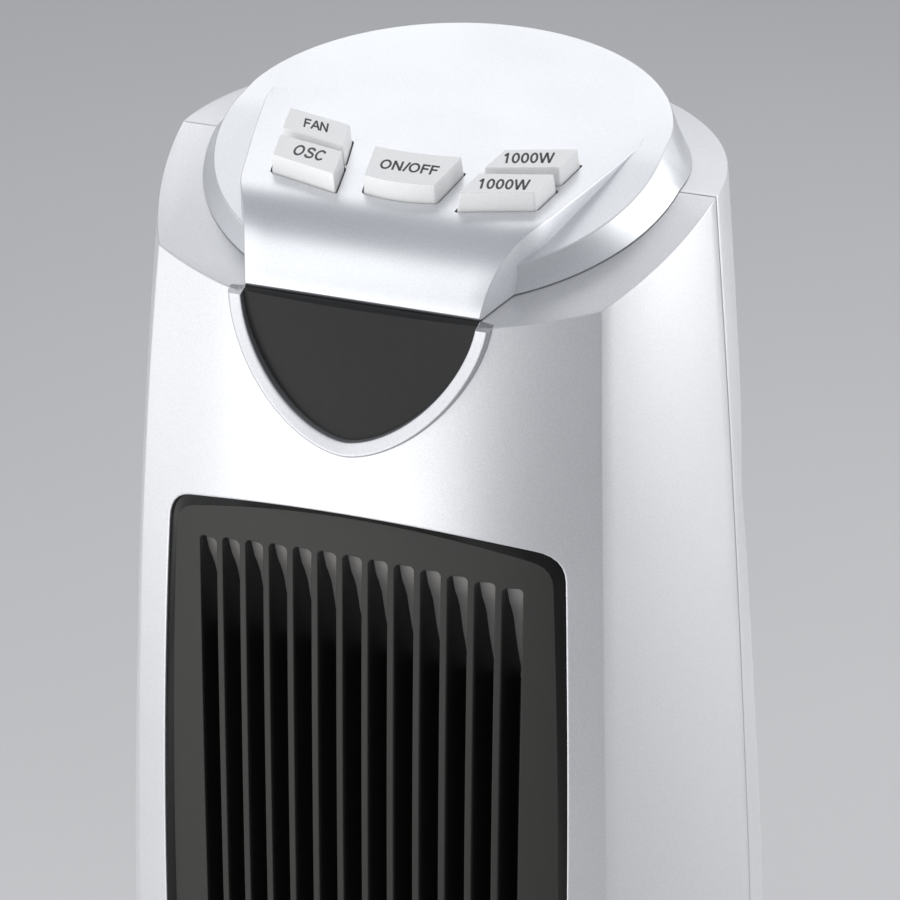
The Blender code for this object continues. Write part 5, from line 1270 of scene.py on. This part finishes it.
def key_ring(face, grow, z, round_off=KEY_ROUND):
    """A key's outline at one level, grown by a distance, with its corners rounded."""
    moved = grown(face, grow)
    corners = range(4) if len(face) == 4 else POWER_KEY_CORNERS
    steps = 4
    around = []
    for i, point in enumerate(moved):
        if i in corners:
            near = [moved[i - 1], point, moved[(i + 1) % len(moved)]]
            around.extend(rounded(near, max(round_off + grow, LEAST_ROUND), steps)[steps + 1:2 * (steps + 1)])
        else:
            around.append(point)
    return [DECK_MATRIX @ Vector((x, y, z)) for x, y in around]


def make_key(name, face, edge_steps=4):
    skirt = KEY_DRAFT + KEY_SKIRT
    levels = [(skirt, SKIRT_FOOT), (skirt, SKIRT_TOP), (KEY_DRAFT, SKIRT_TOP), (KEY_DRAFT, 0.0)]
    levels += [(-inward, KEY_PROUD - under) for under, inward in quarter(KEY_EDGE, edge_steps)]
    middle = np.array(face).mean(0)
    stem = [tuple(middle + (np.array(point) - middle) * STEM_SHARE) for point in face]
    rings = [key_ring(stem, 0.0, z, STEM_ROUND) for z in (STEM_FOOT, SKIRT_FOOT)]
    rings += [key_ring(face, grow, z) for grow, z in levels]
    key = loft(name + "_cap", rings, KEY_GREY)
    even_faces(key)
    dress(key, KEY_BODIES[name], name)
    make_legend(name)
    # Painted shade: a black ring just under the deck round each key, which makes the gap round the key dark.
    outer, inner, low, high = 0.00055, 0.0001, -0.0012, -0.0005
    shade_strip = [key_ring(face, KEY_DRAFT + grow, z)
            for grow, z in ((outer, low), (outer, high), (inner, high), (inner, low))]
    dress(loft(name + "_seal", shade_strip + shade_strip[:1], BLACK, ends=False), "tower")


# Outlet grille


def grille_y(x, z):
    share = (OUTLET_TOP - z) / (OUTLET_TOP - OUTLET_BOTTOM)
    off = (share - PLATE_MIDDLE_SHARE) / PLATE_MIDDLE_SHARE
    return PLATE_Y + PLATE_BOW * off**2 + PLATE_RADIUS - np.sqrt(PLATE_RADIUS**2 - x**2)


def slot_place(number):
    """A slot's x and how far its arch shortens it, by its number from the middle slot."""
    edge = SLOT_COUNT // 2
    return OUTLET_SHIFT + SLOT_PITCH * number, SLOT_ARCH * (min(edge, abs(number)) / edge) ** 2


def make_bevel(outer, inner):
    """The glossy frame between the outlet's edge and the plate, by shares of the way inward."""
    recess = 0.0011
    profile = [(0.0, 0.0012), (0.0, 0.0004)] + [(share, 0.0) for share in (0.04, 0.1, 0.9, 0.97, 1.0)]
    steps = []
    for share, back in profile:
        mixed = outer * (1 - share) + inner * share
        x, z = mixed[:, 0], mixed[:, 1]
        high = front_y(x, z) + recess
        steps.append(np.column_stack([x, high * (1 - share) + grille_y(x, z) * share + back, z]))
    dress(loft("grille_bevel", steps, BEVEL_BLACK, ends=False), "tower")


def grille_fin(number):
    """A fin behind a bar, which deepens the bar's sides. Its near-black, darker than the bars' charcoal, is
    painted shade in the slots.
    """
    x, arch = slot_place(number)
    past_slot = 0.001
    rings = []
    for z in np.linspace(SLOT_TOP - arch + past_slot, SLOT_BOTTOM + arch - past_slot, 40):
        front = float(grille_y(x, z)) + FIN_BEHIND
        rear = front + FIN_DEPTH
        rings.append([(x + FIN_FRONT_HALF, front, z), (x + FIN_REAR_HALF, rear, z),
                      (x - FIN_REAR_HALF, rear, z), (x - FIN_FRONT_HALF, front, z)])
    return loft("grille_fin", rings, INNER_BLACK)


def make_grille():
    inner = outlet_outline(BEVEL_SIDE, BEVEL_END, BEVEL_CORNER)
    make_bevel(outlet_outline(BEVEL_GAP, BEVEL_GAP), inner)
    margin, reach = 0.0025, 0.066
    rows = []
    for z in np.linspace(OUTLET_TOP - margin, OUTLET_BOTTOM + margin, 121):
        rows.append([(x, float(grille_y(x, z)), z) for x in np.linspace(reach, -reach, 97)])
    plate = sheet("grille_plate", rows, PLATE_THICKNESS, CHARCOAL)
    boolean(plate, [front_prism("plate_edge", inner, PLATE_CUT)], "INTERSECT")
    half = SLOT_WIDTH / 2
    edge_depth, overlap_share = 0.0016, 0.98
    tools, strips = [], []
    for i in range(SLOT_COUNT):
        x, arch = slot_place(i - SLOT_COUNT // 2)
        low, high = SLOT_BOTTOM + arch, SLOT_TOP - arch
        wide = slot_outline(x, low, high, half, SLOT_EDGE * overlap_share)
        tools.append(front_prism("slot_hole", wide, PLATE_CUT))
        strip = edge_strip(slot_outline(x, low, high, half), grille_y, SLOT_EDGE, edge_depth, 4)
        strips.append(loft("slot_edge", strip, CHARCOAL, ends=False))
    boolean(plate, tools)
    keep_normals(plate, [rows])
    dress(plate, "tower", "outlet_grille")
    dress(join("slot_edges", strips), "tower")
    fins = [grille_fin(i - SLOT_COUNT / 2) for i in range(SLOT_COUNT + 1)]
    dress(join("grille_fins", fins), "tower")


# How far behind the plate and below the slots' tops the duct's roof runs, front to rear
DUCT_ROOF = [(0.0018, 0.004), (0.0035, -0.0045), (0.0055, -0.0095), (0.0075, -0.0127), (0.0098, -0.0172),
             (0.0128, -0.027), (0.0162, -0.036), (0.0205, -0.044)]


def make_duct_front():
    """The curved roof behind the bars, which the warm air leaves past. Its pale grey is painted light, for
    the light that falls on it through the slots.
    """
    reach, arch_half, thickness = 0.056, 0.05, 0.0012
    rows = []
    for back, drop in DUCT_ROOF:
        row = []
        for x in np.linspace(reach, -reach, 49):
            top = SLOT_TOP - SLOT_ARCH * (x / arch_half) ** 2
            row.append((x, float(grille_y(x, top)) + PLATE_THICKNESS + back, top + drop))
        rows.append(row)
    dress(sheet("duct_roof", rows, thickness, ROOF_PAINTED_LIGHT), "tower")


# Intake panel and base cover


def make_intake():
    half = INTAKE_HALF + OVERRUN
    rows = []
    for z in np.linspace(INTAKE_TOP + OVERRUN, INTAKE_BOTTOM - OVERRUN, 121):
        row = []
        for x in np.linspace(-half, half, 81):
            y = float(rear_y(x, z))
            inward = Vector((-x / float(seam_half(z)) ** 2, -y / float(rear_y(0, z)) ** 2))
            inward *= PANEL_SUNK / inward.length
            row.append((x + inward.x, y + inward.y, z))
        rows.append(row)
    panel = sheet("intake_panel_face", rows, PANEL_THICKNESS, SILVER, (0, 1, 0))
    boolean(panel, [front_prism("panel_edge", intake_outline(PANEL_GAP), REAR_CUT)], "INTERSECT")
    pitch = (INTAKE_TOP - INTAKE_BOTTOM - 2 * PANEL_MARGIN) / PANEL_ROWS
    width = 2 * (INTAKE_HALF - PANEL_MARGIN)
    column = (width - (PANEL_COLUMNS - 1) * PANEL_COLUMN_GAP) / PANEL_COLUMNS
    tools = []
    for i in range(PANEL_ROWS):
        z = INTAKE_BOTTOM + PANEL_MARGIN + pitch * (i + 0.5)
        low, high = z - PANEL_SLOT_HALF, z + PANEL_SLOT_HALF
        for j in range(PANEL_COLUMNS):
            x = -width / 2 + j * (column + PANEL_COLUMN_GAP)
            corners = [(x + column, low), (x + column, high), (x, high), (x, low)]
            tools.append(front_prism("panel_slot", rounded(corners, PANEL_SLOT_ROUND, 8), REAR_CUT))
    boolean(panel, tools)
    keep_normals(panel, [rows])
    dress(panel, "intake_panel", "intake_grille")


# The base cover's profile as radius and height in millimetres: the curve of its outside, from the top down,
# the well that the tower turns in, and the inside, from the foot up
BASE_OUTSIDE = [(98, 64), (104.5, 62.9), (111, 58.2), (115.8, 47.5), (118.8, 30.7), (119.9, 11), (119.9, 4)]
BASE_WELL = [(22.4, 56), (90, 56), (90, 62.8), (90.1, 63.4), (90.35, 63.75), (90.75, 63.95), (91.3, 64)]
BASE_INSIDE = [(117.1, 4), (117.1, 11), (115.9, 30), (113, 46), (108.5, 55.5), (102, 60.5), (92.8, 61.2),
               (92.8, 53.2), (22.4, 53.2)]
GLAND_RADIUS = 0.0069
GLAND_HEIGHT = 0.022
GLAND_CUT = (0.108, 0.125)


def make_base_cover(steps=192, curve_steps=40):
    """The round foot, with the well that the tower turns in."""
    lengths = run_lengths(np.array(BASE_OUTSIDE, float))
    places = np.linspace(0, lengths[-1], curve_steps + 1)
    curve = list(zip(*(smooth(list(zip(lengths, column)), places) for column in zip(*BASE_OUTSIDE))))
    rings = [[(r / 1000 * math.cos(a), r / 1000 * math.sin(a), z / 1000) for a in circle_angles(steps)]
             for r, z in BASE_WELL + curve + BASE_INSIDE]
    cover = loft("base_shell", rings + rings[:1], SILVER, ends=False)
    bm = bmesh.new()
    bm.from_mesh(cover.data)
    bmesh.ops.remove_doubles(bm, verts=bm.verts, dist=1e-6)
    bm.to_mesh(cover.data)
    bm.free()
    start, end = ((0, y, GLAND_HEIGHT) for y in GLAND_CUT)
    boolean(cover, [cylinder("gland_hole", GLAND_RADIUS, start, end, steps=48)])
    first = len(BASE_WELL)
    keep_normals(cover, [closed_grid_of(rings[first:first + len(curve)])])
    dress(cover, "base", "base_cover")


# Stage, light and camera


def make_stage():
    bm = bmesh.new()
    bmesh.ops.create_grid(bm, x_segments=1, y_segments=1, size=6)
    floor = from_bmesh("studio_floor", bm)
    material = new_material("studio_grey", Roughness=0.85)
    tree = material.node_tree
    two_tone(tree, noise(tree, 3), (0.53, 0.53, 0.53), (0.56, 0.56, 0.56))
    floor.data.materials.append(material)


WORLD_COLOUR = (0.9, 0.93, 1.0, 1)
WORLD_STRENGTH = 0.45
# Each lamp's angle round the object and its rise in degrees, its distance, the height that these are measured
# at, the height that it aims at, its size and its power in watts
LAMPS = [
    ("right_softbox", 122, 6, 1.2, 0.45, 0.42, (0.9, 0.9), 8.0),
    ("high_right_softbox", 122, 36, 1.5, 0.50, 0.55, (0.6, 0.6), 3.0),
    ("left_softbox", -80, 0, 0.9, 0.42, 0.40, (0.6, 0.7), 1.7),
    ("low_front_softbox", -20, 2, 0.66, 0.33, 0.30, (0.9, 0.6), 3.25),
    ("high_front_softbox", -35, 36, 1.5, 0.50, 0.50, (1.2, 1.1), 6.2),
    ("rear_softbox", 197, 38, 1.8, 0.50, 0.55, (1.8, 1.1), 8.8),
]


def make_lamp(name, place, target, size, power):
    lamp = bpy.data.lights.new(name, "AREA")
    lamp.shape = "RECTANGLE"
    lamp.size, lamp.size_y = size
    lamp.energy = power
    obj = add_object(name, lamp)
    obj.location = place
    obj.rotation_euler = (Vector(target) - Vector(place)).to_track_quat("-Z", "Y").to_euler()
    obj.visible_camera = False


def make_light():
    world = bpy.data.worlds.new("studio")
    bpy.context.scene.world = world
    world.use_nodes = True
    background = world.node_tree.nodes["Background"]
    background.inputs["Color"].default_value = WORLD_COLOUR
    background.inputs["Strength"].default_value = WORLD_STRENGTH
    for name, angle, rise, far, height, aim, size, power in LAMPS:
        angle, rise = math.radians(angle), math.radians(rise)
        place = (far * math.sin(angle) * math.cos(rise), -far * math.cos(angle) * math.cos(rise),
                 height + far * math.sin(rise))
        make_lamp(name, place, (0, 0, aim), size, power)


# The camera as solved from the photograph: its turn round the object and its rise in radians, its place, and
# its focal length and picture width in pixels
CAMERA_TURN = 0.3392005554674204
CAMERA_RISE = 0.4862453174734414
CAMERA_PLACE = (0.37799, -1.06613, 1.05893)
FOCAL_PIXELS = 4114.06
PICTURE_PIXELS = 900
SENSOR_WIDTH = 36


def make_camera():
    turn, rise = CAMERA_TURN, CAMERA_RISE
    back = Vector((math.sin(turn) * math.cos(rise), -math.cos(turn) * math.cos(rise), math.sin(rise)))
    right = Vector((math.cos(turn), math.sin(turn), 0))
    matrix = Matrix((right, back.cross(right), back)).transposed().to_4x4()
    matrix.translation = Vector(CAMERA_PLACE)
    camera = bpy.data.cameras.new("camera")
    camera.sensor_width = SENSOR_WIDTH
    camera.lens = FOCAL_PIXELS / PICTURE_PIXELS * SENSOR_WIDTH
    camera.clip_start = 0.01
    obj = add_object("camera", camera)
    obj.matrix_world = matrix
    bpy.context.scene.camera = obj


make_camera()
make_stage()
make_light()
make_front_shell()
make_rim()
make_lens()
make_lens_ledge()
make_rear_shell()
make_seam_shade_strips()
make_cap_body()
make_tongue()
make_cap_shade_ring()
make_tongue_shade_line()
for key_name, key_face in KEYS.items():
    make_key(key_name, key_face)
make_grille()
make_duct_front()
make_intake()
make_base_cover()

bpy.context.scene.view_settings.view_transform = "Standard"
